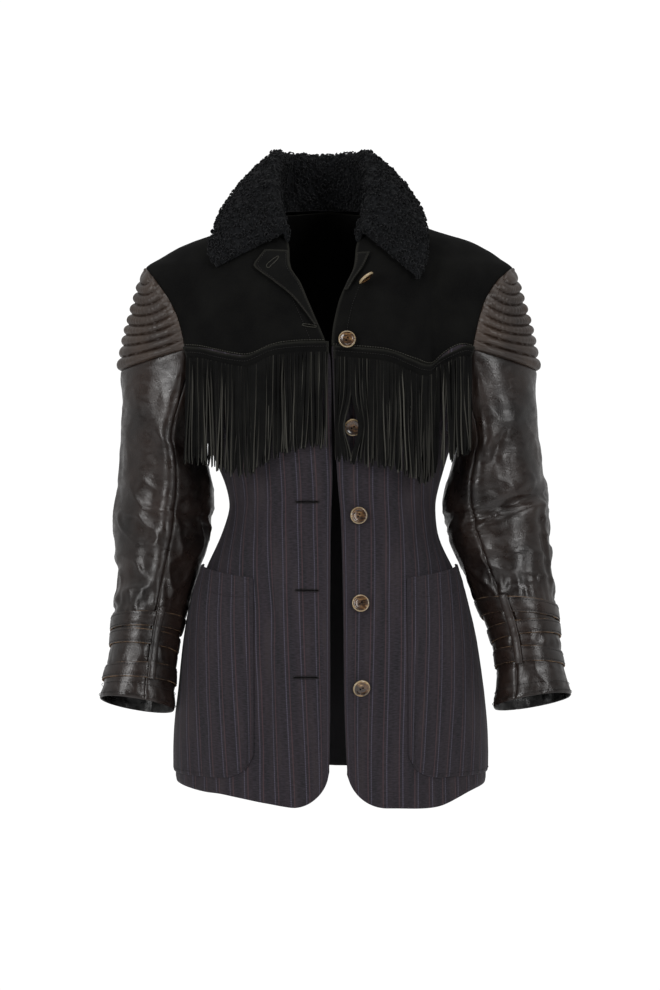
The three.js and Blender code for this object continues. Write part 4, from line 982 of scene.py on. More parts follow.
# Leather sleeves
# Two-piece sleeves of black-brown garment leather with a fine grain and a soft gloss. The top sleeve and the
# under sleeve meet in a seam down the front and another behind, and the hide has creased at the elbow.
LEATHER_THICK = 2.0
CAP_BOTTOM_Z = -165
FRONT_SEAM_TURN = {RIGHT: -16, LEFT: -30}
BACK_SEAM_TURN = 200
SLEEVES = {
    RIGHT: table(
        "outer outer_z inner inner_z middle deep tilt",
        [
            (251, -188, 150, -262, 0, 62, 0),
            (249, -215, 150, -284, 2, 67, 0),
            (250, -250, 145, -304, 5, 68, 0),
            (252, -290, 141, -328, 8, 68, 0),
            (257, -330, 140, -352, 10, 68, -0.02),
            (259, -370, 144, -382, 8, 66, 0.05),
            (257, -420, 157, -426, 0, 61, 0.14),
            (258, -465, 169, -468, -10, 55, 0.2),
            (260, -500, 179, -502, -18, 48, 0.24),
            (262, -530, 184, -534, -25, 44, 0.25),
            (268, -554, 185, -562, -30, 43, 0.25),
            (274, -577, 184, -591, -34, 45, 0.25),
        ],
    ),
    LEFT: table(
        "outer outer_z inner inner_z middle deep tilt",
        [
            (248, -188, 150, -262, 0, 62, 0),
            (247, -215, 150, -284, 2, 67, 0),
            (249, -250, 145, -304, 5, 68, 0),
            (254, -290, 137, -330, 8, 68, 0),
            (261, -330, 135, -354, 10, 68, -0.02),
            (264, -370, 142, -380, 8, 66, 0.05),
            (268, -420, 158, -425, 0, 61, 0.14),
            (270, -465, 176, -466, -10, 55, 0.2),
            (273, -500, 191, -502, -18, 48, 0.24),
            (275, -530, 198, -532, -25, 44, 0.25),
            (281, -554, 198, -562, -30, 43, 0.25),
            (287, -573, 193, -588, -34, 45, 0.25),
        ],
    ),
}
SLEEVE_START = -0.02  # just inside the cap's lower edge
SLEEVE_LAST = 11
# Places of the cuff straps in rings of the table, with their slopes and half their widths.
STRAPS = {
    RIGHT: [(7.72, 0.0, 0.25), (8.36, -0.08, 0.25), (9.72, 0.05, 0.33)],
    LEFT: [(7.27, 0.12, 0.24), (8.01, -0.08, 0.24), (9.05, 0.05, 0.3)],
}
# Creases: degrees round the sleeve, ring of the table, width in degrees, length in rings, depth, and the
# degrees that the crease turns for each ring.
SLEEVE_CREASES = [
    (LEFT, 20, 4.2, 26, 0.5, 6, -60),
    (LEFT, 42, 5.2, 18, 1.6, -3, 0),
    (LEFT, 110, 6.3, 40, 0.35, 4, 20),
    (RIGHT, -8, 3.6, 11, 3.2, -4.5, 0),
    (RIGHT, -48, 3.6, 24, 3.0, 4, 0),
    (RIGHT, 95, 6.4, 40, 0.35, 4, -20),
    (RIGHT, 200, 5.2, 40, 0.5, 5, 30),
    (LEFT, 200, 5.4, 40, 0.5, 5, -30),
    (RIGHT, 30, 3.7, 22, 3.2, 3.0, 0),
    (LEFT, -20, 2.4, 12, 2.0, -3.0, 0),
    (LEFT, 14, 2.5, 20, 1.6, 2.2, 0),
    (LEFT, 38, 4.15, 42, 0.16, 4.8, -75),
    (LEFT, 6, 4.35, 30, 0.13, 2.6, -40),
    (LEFT, 50, 5.6, 5, 1.0, 2.6, 3),
    (LEFT, 57, 5.4, 5, 1.1, -1.8, 3),
    (LEFT, 70, 7.2, 7, 0.5, 2.0, -14),
    (LEFT, 20, 6.5, 30, 0.14, 1.8, 20),
    (LEFT, 95, 5.4, 30, 0.16, 2.2, 20),
    (LEFT, 80, 6.9, 34, 0.15, 2.0, -18),
    (LEFT, 128, 4.4, 34, 0.2, 2.4, 30),
    (LEFT, 165, 5.2, 40, 0.18, 3.0, -26),
    (LEFT, 240, 5.0, 40, 0.2, 3.0, 22),
    (LEFT, 290, 4.4, 36, 0.2, 2.6, -30),
    (LEFT, 0, 2.1, 7, 0.7, 1.6, -6),
    (LEFT, 300, 2.6, 12, 1.0, 2.2, 4),
    (RIGHT, 62, 6.0, 36, 0.16, 2.2, 16),
    (RIGHT, 30, 6.5, 30, 0.16, 2.4, -22),
    (RIGHT, 82, 7.25, 30, 0.14, 2.6, 14),
    (RIGHT, 40, 7.5, 26, 0.12, 2.2, -20),
    (RIGHT, 4, 7.2, 9, 0.4, 1.8, 10),
    (RIGHT, 96, 4.0, 26, 0.24, 1.8, 24),
    (RIGHT, 70, 3.2, 9, 1.0, 1.3, -8),
    (RIGHT, 118, 5.5, 34, 0.2, 2.2, -22),
    (RIGHT, 160, 5.6, 40, 0.18, 3.0, 24),
    (RIGHT, 236, 5.1, 40, 0.2, 3.0, -22),
    (RIGHT, 292, 4.5, 36, 0.2, 2.6, 30),
    (RIGHT, 300, 2.8, 12, 1.0, 2.2, 4),
    (RIGHT, 330, 4.6, 14, 0.7, 2.0, -14),
]


def armhole_point(side, z, back, gap):
    """A point of the armhole seam, a gap outwards from the body's edge."""
    half = sample(TORSO, "z", side_name(side), z)
    x = np.minimum(sample(ARMHOLE, "z", side_name(side), z), half)
    point = torso_point(side, torso_turn(side, side * x, z, back), z)
    return point + np.stack([side * gap, 0 * gap, 0 * gap], -1)


def outer_loop(side, z, outer, turn):
    """The half loop from the front of the armhole round the outside of the arm to its back."""
    gap = np.full(np.shape(z), SEAM_GAP)
    front = armhole_point(side, z, False, gap)
    back = armhole_point(side, z, True, gap)
    centre, forward = (front + back) / 2, (front - back) / 2
    c, s = np.cos(np.radians(turn))[..., None], np.sin(np.radians(turn))[..., None]
    return centre + forward * c + (outer - centre) * s


def sleeve_ring(side, ring, turn):
    """One ring of the sleeve. Ring 0 is the seam with the shoulder above and the armhole below."""
    row = {name: values[ring] for name, values in SLEEVES[side].items()}
    s, c = np.sin(np.radians(turn)), np.cos(np.radians(turn))
    if ring == 0:
        top = np.full(turn.shape, float(CAP_BOTTOM_Z))
        over = outer_loop(side, top, np.array([side * row["outer"], 0, row["outer_z"]]), turn)
        low = np.maximum(-s, 0)
        under = armhole_point(side, mix(top, row["inner_z"], low), c < 0, SEAM_GAP + 0.4 * low)
        return np.where((s >= 0)[..., None], over, under)
    centre = [side * (row["outer"] + row["inner"]) / 2, row["middle"], (row["outer_z"] + row["inner_z"]) / 2]
    outward = np.array([side * (row["outer"] - row["inner"]), 0, row["outer_z"] - row["inner_z"]]) / 2
    forward = np.array([0, -row["deep"], row["tilt"] * row["deep"]])
    return centre + forward * c[..., None] + outward * s[..., None]


def sleeve_point(side, turn, along):
    """A point of the sleeve between its rings."""
    turn, along = np.broadcast_arrays(np.asarray(turn, float), np.asarray(along, float))
    rings = np.stack([sleeve_ring(side, k, turn) for k in range(SLEEVE_LAST + 1)])
    i = np.clip(np.floor(along), 0, SLEEVE_LAST - 1).astype(int)
    t = (along - i)[..., None]

    def ring(k):
        return np.take_along_axis(rings, np.clip(k, 0, SLEEVE_LAST)[None, ..., None], 0)[0]

    p0, p1, p2, p3 = (ring(i + k) for k in (-1, 0, 1, 2))
    leaving = (p2 - p0) / np.where(i == 0, 1, 2)[..., None]
    arriving = (p3 - p1) / np.where(i == SLEEVE_LAST - 1, 1, 2)[..., None]
    return hermite(p1, p2, leaving, arriving, t)


def sleeve_crease(side, turn, along):
    """How far the creases push the leather in, each with a low ridge beside its trough."""
    depth = 0
    for crease_side, at, ring, wide, long, deep, slant in SLEEVE_CREASES:
        if crease_side == side:
            off = half_turns(turn - at - slant * (along - ring))
            trough = bell(off, 0, wide) - 0.4 * bell(off, 1.9 * wide, wide)
            depth = depth + deep * bell(along, ring, long, 4) * trough
    return depth


def seam_puckers(side, turn, along):
    """Short uneven gathers across the front seam, tightest above the elbow."""
    tight = bell(half_turns(turn - FRONT_SEAM_TURN[side]), 0, 13) * bell(along, 4.9, 1.9, 4)
    wave = np.sin(along * 31 + 2 * np.sin(along * 5.3)) * (0.6 + 0.4 * np.sin(along * 11 + side))
    return 0.75 * tight * wave * (1 if side == LEFT else 0.6)


def crumple(points, along):
    """Soft ridges that run into each other, as hide that has been bent keeps them, most about the elbow."""
    bent = 0.3 + 0.7 * bell(along, 5.8, 1.8, 4)
    lines = np.abs(ripple(points * [0.9, 0.9, 1.1], 32, 11))
    return bent * (1.9 * bell(lines, 0, 0.13, 1.5) - 0.6)


def cuff_puffs(side, points, along):
    """The leather between the straps puffs out, and gathers above them in short upright folds."""
    top, bottom = STRAPS[side][0][0], STRAPS[side][-1][0]
    tied = sum(bell(along, middle, 0.36, 4) for middle, _, _ in STRAPS[side])
    within = np.clip((along - top + 0.45) * 4, 0, 1) * np.clip((bottom + 0.5 - along) * 3, 0, 1)
    puff = within * np.clip(1 - tied, 0, 1)
    upright = ripple(points * [1, 1, 0.4], 8, 6)
    gathers = bell(along, top - 0.65, 0.5) + 0.9 * puff + 0.8 * bell(along, 10.7, 0.3)
    return 1.5 * puff + 1.6 * gathers * upright


def sleeve_normal(side, turn, along):
    across = sleeve_point(side, turn + 2, along) - sleeve_point(side, turn - 2, along)
    down = sleeve_point(side, turn, along + 0.06) - sleeve_point(side, turn, np.maximum(along - 0.06, 0))
    return side * unit(np.cross(down, across))


def on_sleeve(side, turn, along, lift):
    """Points lifted off the sleeve's surface."""
    return sleeve_point(side, turn, along) + sleeve_normal(side, turn, along) * np.asarray(lift)[..., None]


def garment_leather(name, dark, light, gloss, grain):
    """Finished lamb leather: dyed through, with a fine pebbled grain about 1.2 mm across, a soft waxy gloss
    that wear makes uneven, and a browner cast where the dye has rubbed thin."""
    made, tree, shader = blank(name)
    spot = own_place(tree)
    cast = speckle(tree, spot, 16.0, 5.0)
    pebble = add(tree, "ShaderNodeTexVoronoi", {"Vector": spot, "Scale": 780.0}, feature="SMOOTH_F1")
    pebble = pebble.outputs["Distance"]
    wrinkle = add(tree, "ShaderNodeMapping", {"Vector": spot, "Scale": (70, 70, 130)})
    fine = speckle(tree, wrinkle.outputs[0], 1.0, 5.0, 0.6)
    colour = shades(tree, cast, [(0.32, dark), (0.7, light)])
    colour = blend(tree, fade(tree, pebble, 0.25, 0.75, 0.0, 0.35), colour, dark)
    colour = blend(tree, marked(tree, "face_side"), "#0b0a09", colour)
    dull = fade(tree, fine, 0.3, 0.75, gloss, gloss + 0.2)
    normal = bumped(tree, pebble, grain, 0.0003, Normal=bumped(tree, fine, 0.4, 0.0011))
    tune(shader, {"Base Color": colour, "Roughness": dull, "Normal": normal, "Specular IOR Level": 0.5})
    return made


LEATHER = garment_leather("garment_leather", "#110c0a", "#291e19", 0.27, 0.5)
for label, side in SIDES.items():
    for part, first, last, count, cut in (
        ("top", FRONT_SEAM_TURN[side], BACK_SEAM_TURN, 104, (0.27, 0.4, 0.088)),
        ("under", BACK_SEAM_TURN, 360 + FRONT_SEAM_TURN[side], 62, (0.18, 0.31, 0.048)),
    ):
        rings = np.linspace(SLEEVE_START, SLEEVE_LAST, 168)
        turn, along = grid(np.linspace(first + 0.25, last - 0.25, count), rings)
        surface = sleeve_point(side, turn, along)
        strapped = 1 - 0.7 * (along > STRAPS[side][0][0] - 0.35) * (along < STRAPS[side][-1][0] + 0.4)
        soft = 1.8 * strapped * ripple(surface, 34, 6) + 0.6 * strapped * ripple(surface, 12, 1)
        soft = soft + strapped * crumple(surface, along)
        soft = soft - sleeve_crease(side, turn, along) * strapped + seam_puckers(side, turn, along)
        soft = (soft + cuff_puffs(side, surface, along)) * np.clip(along / 0.3, 0, 1)
        normal = sleeve_normal(side, turn, along)
        outer = surface + normal * (soft + seam_roll(surface, 1.0, 1.8))[..., None]
        inner = surface + normal * (soft - LEATHER_THICK)[..., None]
        name = f"sleeve_{part}_{label}"
        piece = wall(f"leather_{name}", outer, inner, LEATHER, lip=0.6)
        sew_up(piece, "leather", name)
hem_paths = []
for side in (RIGHT, LEFT):
    around = np.linspace(FRONT_SEAM_TURN[side], 360 + FRONT_SEAM_TURN[side], 140)
    for along in (10.35, 10.85):
        hem_paths.append(on_sleeve(side, around, along, 0.9))
LEATHER_THREAD = thread("leather_thread", "#0d0b0a")
sew("stitching_cuff_hems", hem_paths, LEATHER_THREAD, "leather", pitch=3.2, length=2.3, thick=0.8)

# Quilted shoulders
# The top of each sleeve is a separate cap of browner leather, stitched through a pad in nine channels that
# run from the front of the armhole round to its back and droop outwards like ribs.
CHANNEL_COUNT = 9
CHANNEL_RISE = 5.4
CHANNEL_DROOP = 0.085  # of the cap's height, halfway out from the armhole
CAP_TOP_Z = SHOULDER_TIP_Z - 0.6
CAP_OUTER = table(
    "v right left z",
    [
        (0, 222.5, 220.5, -66),
        (0.25, 229, 226, -96),
        (0.5, 237.5, 235, -126),
        (0.75, 245, 242, -154),
        (1, 251, 248, -187),
    ],
)
QUILTING = garment_leather("quilting_leather", "#271e19", "#43352b", 0.38, 0.45)


def cap_point(side, turn, v):
    x = side * sample(CAP_OUTER, "v", side_name(side), v)
    outer = np.stack([x, 0 * x, sample(CAP_OUTER, "v", "z", v)], -1)
    return outer_loop(side, mix(CAP_TOP_Z, CAP_BOTTOM_Z, v), outer, turn)


def cap_normal(side, turn, v):
    across = cap_point(side, turn + 2, v) - cap_point(side, turn - 2, v)
    down = cap_point(side, turn, v + 0.01) - cap_point(side, turn, v - 0.01)
    return side * unit(np.cross(down, across))


for label, side in SIDES.items():
    turn, v = grid(np.linspace(0, 180, 110), np.linspace(0, 1, CHANNEL_COUNT * 14 + 1))
    out = np.sin(np.radians(turn))
    droop = CHANNEL_DROOP * 4 * out * (1 - out) * np.minimum(1, 3 * (1 - v)) * np.minimum(1, 0.4 + 4 * v)
    phase = (v - droop) * CHANNEL_COUNT
    channel = np.floor(phase)
    phase = (phase - channel) ** 1.15
    phase = np.where((v <= 0) | (v >= 1), 0, phase)
    ends = np.minimum(1, np.sin(np.radians(turn)) * 4 + 0.25)
    tip = np.minimum(1, 0.2 + 4 * v)
    surface = cap_point(side, turn, v)
    pucker = 1 + 0.12 * np.sin(turn * 1.9 + 9 * channel) * np.sin(turn * 0.7)
    rise = CHANNEL_RISE * (4 * phase * (1 - phase)) ** 0.55 * ends * tip * pucker
    rise = rise + 0.4 + 0.3 * ripple(surface, 9, 8)
    normal = cap_normal(side, turn, v)
    outer, inner = surface + normal * rise[..., None], surface - normal * LEATHER_THICK
    piece = wall(f"leather_shoulder_{label}", outer, inner, QUILTING, lip=0.4)
    sew_up(piece, "leather", f"shoulder_{label}")

# Cuff straps and keepers
# Three belts of the same leather pass round each forearm, stitched along both edges, with tan raw edges.
# An upright leather keeper at the front seam holds them.
STRAP_THICK = 1.8
STRAP_LIFT = 1.2
STRAP_SEWN = 0.72  # where the stitching runs, as a share of half the strap's width
KEEPER_TURN = -22
KEEPER_REACH = 5.5
KEEPER_SPAN = {RIGHT: (7.28, 10.1), LEFT: (6.93, 9.42)}


def raw_edge():
    """The cut edge of vegetable-tanned leather: tan, dry and fibrous, darkened in places by handling."""
    made, tree, shader = blank("raw_cut_edge")
    spot = own_place(tree)
    wear = speckle(tree, spot, 60.0, 3.0)
    colour = shades(tree, wear, [(0.4, "#1d1511"), (0.62, "#97795a")])
    tune(shader, {"Base Color": colour, "Roughness": 0.85})
    return made


def strap_place(strap, turn, edge):
    """Where a strap runs along the sleeve, from one edge at -1 to the other at 1."""
    middle, slope, half = strap
    return middle + edge * half + slope * np.sin(np.radians(turn))


def strap_lift(turn, number):
    """How far a strap's inner face stands off the sleeve."""
    return STRAP_LIFT - 0.2 + 0.5 * np.sin(np.radians(turn) * 2 + number)


RAW_EDGE = raw_edge()
strap_paths = []
for label, side in SIDES.items():
    for number, strap in enumerate(STRAPS[side], 1):
        turn, edge = grid(np.linspace(0, 360, 121)[:-1] + 2, np.linspace(-1, 1, 9))
        place = strap_place(strap, turn, edge)
        surface, normal = sleeve_point(side, turn, place), sleeve_normal(side, turn, place)
        crown = 0.5 * (1 - edge**2) + 0.35 * ripple(surface, 16, number)
        groove = -0.35 * bell(np.abs(edge), STRAP_SEWN, 0.1)
        lift = strap_lift(turn, number)
        outer = surface + normal * (lift + STRAP_THICK + crown + groove)[..., None]
        inner = surface + normal * lift[..., None]
        name = f"strap_{label}_{number}"
        piece = wall(f"leather_{name}", outer, inner, LEATHER, tube=True, lip=0.4, cut=RAW_EDGE)
        sew_up(piece, "leather", name)
        turn = np.linspace(0, 360, 160)
        for edge in (-STRAP_SEWN, STRAP_SEWN):
            lift = strap_lift(turn, number) + STRAP_THICK + 0.25
            strap_paths.append(on_sleeve(side, turn, strap_place(strap, turn, edge), lift))
    edge, along = grid(np.linspace(-1, 1, 14), np.linspace(*KEEPER_SPAN[side], 64))
    turn = KEEPER_TURN + edge * KEEPER_REACH
    over = sum(bell(along, middle, 0.3, 4) for middle, _, _ in STRAPS[side])
    low = STRAP_LIFT + STRAP_THICK + 0.6 + 0.6 * over
    surface, normal = sleeve_point(side, turn, along), sleeve_normal(side, turn, along)
    outer = surface + normal * (low + 2.0 + 0.6 * (1 - edge**2))[..., None]
    inner = surface + normal * low[..., None]
    keeper = wall(f"leather_keeper_{label}", outer, inner, LEATHER, lip=0.5)
    sew_up(keeper, "leather", f"keeper_{label}")
sew("stitching_straps", strap_paths, LEATHER_THREAD, "leather", pitch=3.4, length=2.4, thick=0.8)

# Collar
# A folded leaf of sheepskin dyed black, its pile outwards: the stand rises from the neck seam, rolls over
# and falls on the yoke. The wool is clipped short and stands in tight curls 3 to 5 mm across.
COLLAR_THICK = 9.0
PILE_DEEP = 6.2  # of the ground that the curls stand on
COLLAR_STATIONS = [
    ((-50, -73, -39), (-52, -73, -31), (-133, -80, -69), 1),
    ((-62, -58, -23), (-62, -54, 2), (-142, -68, -53), 6),
    ((-74, -31, -8), (-66, -27, 38), (-136, -42, -30), 10),
    ((-80, 6, 5), (-62, 10, 67), (-127, 12, -9), 13),
    ((-58, 45, 9), (-52, 50, 71), (-88, 84, -14), 13),
    ((-9, 64, 12), (-10, 69, 72), (-10, 104, -16), 11),
    ((40, 45, 9), (31, 50, 71), (66, 84, -12), 13),
    ((63, 6, 5), (43, 10, 67), (104, -8, -2), 12),
    ((57, -31, -8), (48, -27, 38), (112, -59, -31), 9),
    ((45, -58, -23), (45, -54, 2), (112, -83, -60), 5),
    ((33, -73, -39), (36, -73, -31), (104, -97, -84), 1),
]


def collar_path(neck, roll, edge, bulge):
    """One section of the collar, from its neck seam over the roll to its outer edge."""
    neck, roll, edge = np.array(neck, float), np.array(roll, float), np.array(edge, float)
    away = unit((edge - roll) * [1, 1, 0])
    turned = roll + away * 7
    top = (roll + turned) / 2 + [0, 0, 3]
    along = edge - turned
    across = -unit(np.cross(np.cross([0, 0, 1], along), along))
    bend = (turned + edge) / 2 + across * bulge
    t = np.linspace(0, 1, 6)[:, None]
    fall = (1 - t) ** 2 * turned + 2 * t * (1 - t) * bend + t * t * edge
    return np.concatenate([[neck, (neck + roll) / 2, roll, top], fall])


def smooth_line(points, places):
    """A smooth curve through points, at places from 0 to 1 along it, with its bends spaced by distance."""
    points = np.concatenate([[2 * points[0] - points[1]], points, [2 * points[-1] - points[-2]]])
    at = places * (len(points) - 3)
    i = np.minimum(at.astype(int), len(points) - 4)
    t = (at - i)[:, None]
    p0, p1, p2, p3 = (points[i + k] for k in range(4))
    apart = (np.linalg.norm(b - a, axis=1)[:, None] for a, b in ((p0, p1), (p1, p2), (p2, p3)))
    d0, d1, d2 = (np.maximum(distance, 1e-6) ** 0.5 for distance in apart)
    leaving = ((p1 - p0) / d0 - (p2 - p0) / (d0 + d1) + (p2 - p1) / d1) * d1
    arriving = ((p2 - p1) / d1 - (p3 - p1) / (d1 + d2) + (p3 - p2) / d2) * d1
    return hermite(p1, p2, leaving, arriving, t)


def curly_pile():
    """Sheepskin pile dyed black: matt, soft and light-trapping, a little lighter on the tips of its curls."""
    made, tree, shader = blank("curly_pile")
    spot = own_place(tree)
    lock = add(tree, "ShaderNodeTexVoronoi", {"Vector": spot, "Scale": 260.0}, feature="F1")
    fuzz = speckle(tree, spot, 700.0, 4.0)
    colour = shades(tree, lock.outputs["Distance"], [(0.15, "#17181a"), (0.75, "#090a0b")])
    colour = blend(tree, fade(tree, fuzz, 0.4, 0.75, 0.0, 0.5), colour, "#202124")
    tune(shader, {"Base Color": colour, "Normal": bumped(tree, fuzz, 0.8, 0.0012), "Roughness": 0.95})
    tune(shader, {"Specular IOR Level": 0.08, "Sheen Weight": 0.05, "Sheen Roughness": 0.5})
    return made


def curl_tree():
    """Geometry Nodes: curls of wool, each a short tapering coil, set at random turns all over the pile."""
    tree, given = grower("curls_over_pile", ("Spacing", "Curl radius", "Lock thickness", "Density"), "Wool")
    spots = add(tree, "GeometryNodeDistributePointsOnFaces", distribute_method="POISSON")
    tune(spots, {"Mesh": given["Geometry"], "Distance Min": given["Spacing"]})
    tune(spots, {"Density Max": given["Density"], "Seed": 4})
    coil = add(tree, "GeometryNodeCurveSpiral", {"Resolution": 8, "Rotations": 1.15})
    start = given["Curl radius"]
    end, height = maths(tree, "MULTIPLY", start, 0.35), maths(tree, "MULTIPLY", start, 1.1)
    tune(coil, {"Start Radius": start, "End Radius": end, "Height": height})
    thick = {"Resolution": 3, "Radius": given["Lock thickness"]}
    rounded = add(tree, "GeometryNodeCurvePrimitiveCircle", thick)
    swept = {"Curve": coil.outputs[0], "Profile Curve": rounded.outputs[0]}
    lock = add(tree, "GeometryNodeCurveToMesh", swept)

    def chance(low, high, seed):
        drawn = {2: low, 3: high, "Seed": seed}
        return add(tree, "FunctionNodeRandomValue", drawn, data_type="FLOAT").outputs[1]

    turn = add(tree, "ShaderNodeCombineXYZ", {0: chance(-0.7, 0.7, 5), 1: 0.2, 2: chance(0.0, 6.28, 2)})
    turn = add(tree, "FunctionNodeEulerToRotation", {0: turn.outputs[0]})
    turned = {0: spots.outputs["Rotation"], 1: turn.outputs[0]}
    facing = add(tree, "FunctionNodeRotateRotation", turned, rotation_space="LOCAL").outputs[0]
    set_out(tree, spots.outputs["Points"], lock.outputs[0], facing, chance(0.75, 1.3, 9), given["Wool"])
    return tree


PILE = curly_pile()
paths = np.stack([collar_path(*station) for station in COLLAR_STATIONS])
around = (1 - np.cos(np.linspace(0, math.pi, 230))) / 2
around = mix(around, np.linspace(0, 1, 230), 0.75)
lines = np.stack([smooth_line(paths[:, k], around) for k in range(paths.shape[1])], 1)
over = np.concatenate([np.linspace(0, 0.9, 62), 0.9 + 0.1 * np.sin(np.linspace(0.15, math.pi / 2, 12))])
hide = np.stack([smooth_line(row, over) for row in lines])
normal = unit(np.cross(np.gradient(hide, axis=0), np.gradient(hide, axis=1)))
across, along = lengths(hide, 1), lengths(hide, 0)
near = np.minimum(across[:, -1:] - across, np.minimum(along, along[-1:] - along))
round_edge = np.sqrt(1 - (1 - np.clip(near / COLLAR_THICK, 0.004, 1)) ** 2)
lumps = 1.4 * ripple(hide, 14, 2) + 1.5 * ripple(hide, 6.5, 7)
pile = hide + normal * (PILE_DEEP * round_edge + lumps * round_edge)[..., None]
collar = wall("pile_collar", pile, hide, PILE, lip=1.2)
sew_up(collar, "collar_pile", "collar")
ids = np.arange(pile.shape[0] * pile.shape[1]).reshape(pile.shape[:2])
quads = np.stack([ids[:-1, :-1], ids[1:, :-1], ids[1:, 1:], ids[:-1, 1:]], -1).reshape(-1, 4)
pile_face = mesh_of("pile_face", pile.reshape(-1, 3), [], quads.tolist())
curl_sizes = {"Spacing": 0.0036, "Curl radius": 0.0022, "Lock thickness": 0.0009, "Density": 90000.0}
curls = grown("pile_curls", pile_face, curl_tree(), Wool=PILE, **curl_sizes)
sew_up(curls, "collar_pile")

# Buttons and buttonholes
# Six two-hole horn buttons, turned from one slice each with a raised rim, sewn on thread shanks down the
# left front. The right front has a worked buttonhole for each, bound in dark thread round a slit.
HOLE_RADIUS = 1.1
HOLE_APART = 3.4
BUTTONS = [
    (40, -86, 10.6, 1.6, (0.62, -0.14, -0.77), 20),
    (19.5, -157, 3.8, 3.2, None, 55),
    (26, -257, 2.6, 2.2, None, 30),
    (33, -360, 2.6, 1.2, None, 60),
    (35, -462, 2.6, 2.2, None, 40),
    (36, -559, 2.8, 2, (0.2, -0.93, -0.3), 25),
]
# Buttonholes: the x of the outer end, the height, the length and the tilt in degrees.
BUTTONHOLES = [
    (-13, -344, 27, 0),
    (-13, -447, 27, 1),
    (-14, -547, 28, 0),
    (-12, -245, 25, 0),
    (-16, -141, 16, 8),
]
SLIT_BARS = 22
BINDING = {"pitch": 0.7, "length": 0.75, "thick": 1.1}


def polished_horn():
    """Buffalo horn, polished: brown and amber streaks run through it, clear in places, with a pale rim."""
    made, tree, shader = blank("polished_horn")
    uv = add(tree, "ShaderNodeUVMap", uv_map="cloth").outputs["UV"]
    spot = own_place(tree)
    stretch = {"Vector": spot, "Scale": (95, 60, 190), "Rotation": (0, 0.7, 0)}
    stretch = add(tree, "ShaderNodeMapping", stretch).outputs[0]
    streak = speckle(tree, stretch, 1.0, 4.0, 1.2)
    stops = [(0.3, "#120a06"), (0.47, "#32200f"), (0.6, "#5c4026"), (0.74, "#9a7c50")]
    colour = shades(tree, streak, stops)
    out = add(tree, "ShaderNodeSeparateXYZ", {"Vector": uv}).outputs["X"]
    pale = fade(tree, out, 0.0082, 0.0096, 0.0, 0.55)
    tune(shader, {"Base Color": blend(tree, pale, colour, "#c9b48e")})
    tune(shader, {"Roughness": 0.24, "IOR": 1.56, "Coat Weight": 0.25, "Coat Roughness": 0.12})
    return made


HORN = polished_horn()
# Radius and height of a button's outline, from the middle of its face round to its back.
PROFILE = [
    (0.0, 2.4),
    (2.2, 2.4),
    (4.8, 2.5),
    (6.2, 2.75),
    (7.2, 3.3),
    (8.4, 3.4),
    (9.4, 3.1),
    (10, 2.2),
    (10, 1.5),
    (9.6, 0.8),
    (8.6, 0.2),
    (4, 0.1),
    (1.6, 0.0),
]


def basis(out, tilt):
    """Two directions in a button's plane, the first along its row of holes."""
    out = unit(np.array(out, float))
    level = unit(np.cross([0, 0, 1], out))
    up = np.cross(out, level)
    c, s = math.cos(math.radians(tilt)), math.sin(math.radians(tilt))
    return level * c + up * s, up * c - level * s, out


def button_mesh(name, place, axes, shank):
    """A turned button on its shank: rings of points from the middle of the face round to the back."""
    first, second, out = axes
    count = 48
    points, faces, ring_of = [place + out * PROFILE[0][1]], [], [0.0]
    angles = np.linspace(0, 2 * math.pi, count, endpoint=False)
    rings = PROFILE[1:] + [(1.6, -shank)]
    for radius, height in rings:
        for angle in angles:
            spoke = first * math.cos(angle) + second * math.sin(angle)
            points.append(place + radius * spoke + out * height)
            ring_of.append(radius)
    points.append(place - out * shank)
    ring_of.append(0.0)
    for k in range(count):
        n = (k + 1) % count
        faces.append((0, 1 + k, 1 + n))
        for r in range(len(rings) - 1):
            a, b = 1 + r * count, 1 + (r + 1) * count
            faces.append((a + k, b + k, b + n, a + n))
        end = 1 + (len(rings) - 1) * count
        faces.append((end + k, len(points) - 1, end + n))
    mesh = mesh_of(name, points, [], faces, HORN)
    layer = mesh.uv_layers.new(name="cloth")
    corners = np.array([ring_of[loop.vertex_index] for loop in mesh.loops]) / 1000
    layer.data.foreach_set("uv", np.stack([corners, 0 * corners], -1).reshape(-1).astype(np.float32))
    mesh.shade_smooth()
    mesh.set_sharp_from_angle(angle=math.radians(50))
    return mesh


def bar(points, faces, start, end, radius, count=8):
    """Adds a closed round bar between two points to lists of points and faces."""
    along = unit(end - start)
    level = unit(np.cross(along, [0.31, 0.2, 0.93]))
    up = np.cross(along, level)
    base = len(points)
    for spot in (start, end):
        for k in range(count):
            angle = 2 * math.pi * k / count
            points.append(spot + radius * (level * math.cos(angle) + up * math.sin(angle)))
    for k in range(count):
        n = (k + 1) % count
        faces.append((base + k, base + n, base + count + n, base + count + k))
    faces.append(tuple(base + k for k in range(count))[::-1])
    faces.append(tuple(base + count + k for k in range(count)))


def dark_slit():
    """The open slit of a buttonhole or a button's hole: almost black, because no light gets in."""
    made, tree, shader = blank("open_slit")
    spot = own_place(tree)
    lint = speckle(tree, spot, 500.0)
    colour = shades(tree, lint, [(0.3, "#030303"), (0.8, "#0b0a0a")])
    tune(shader, {"Base Color": colour, "Roughness": 0.95, "Specular IOR Level": 0.05})
    return made


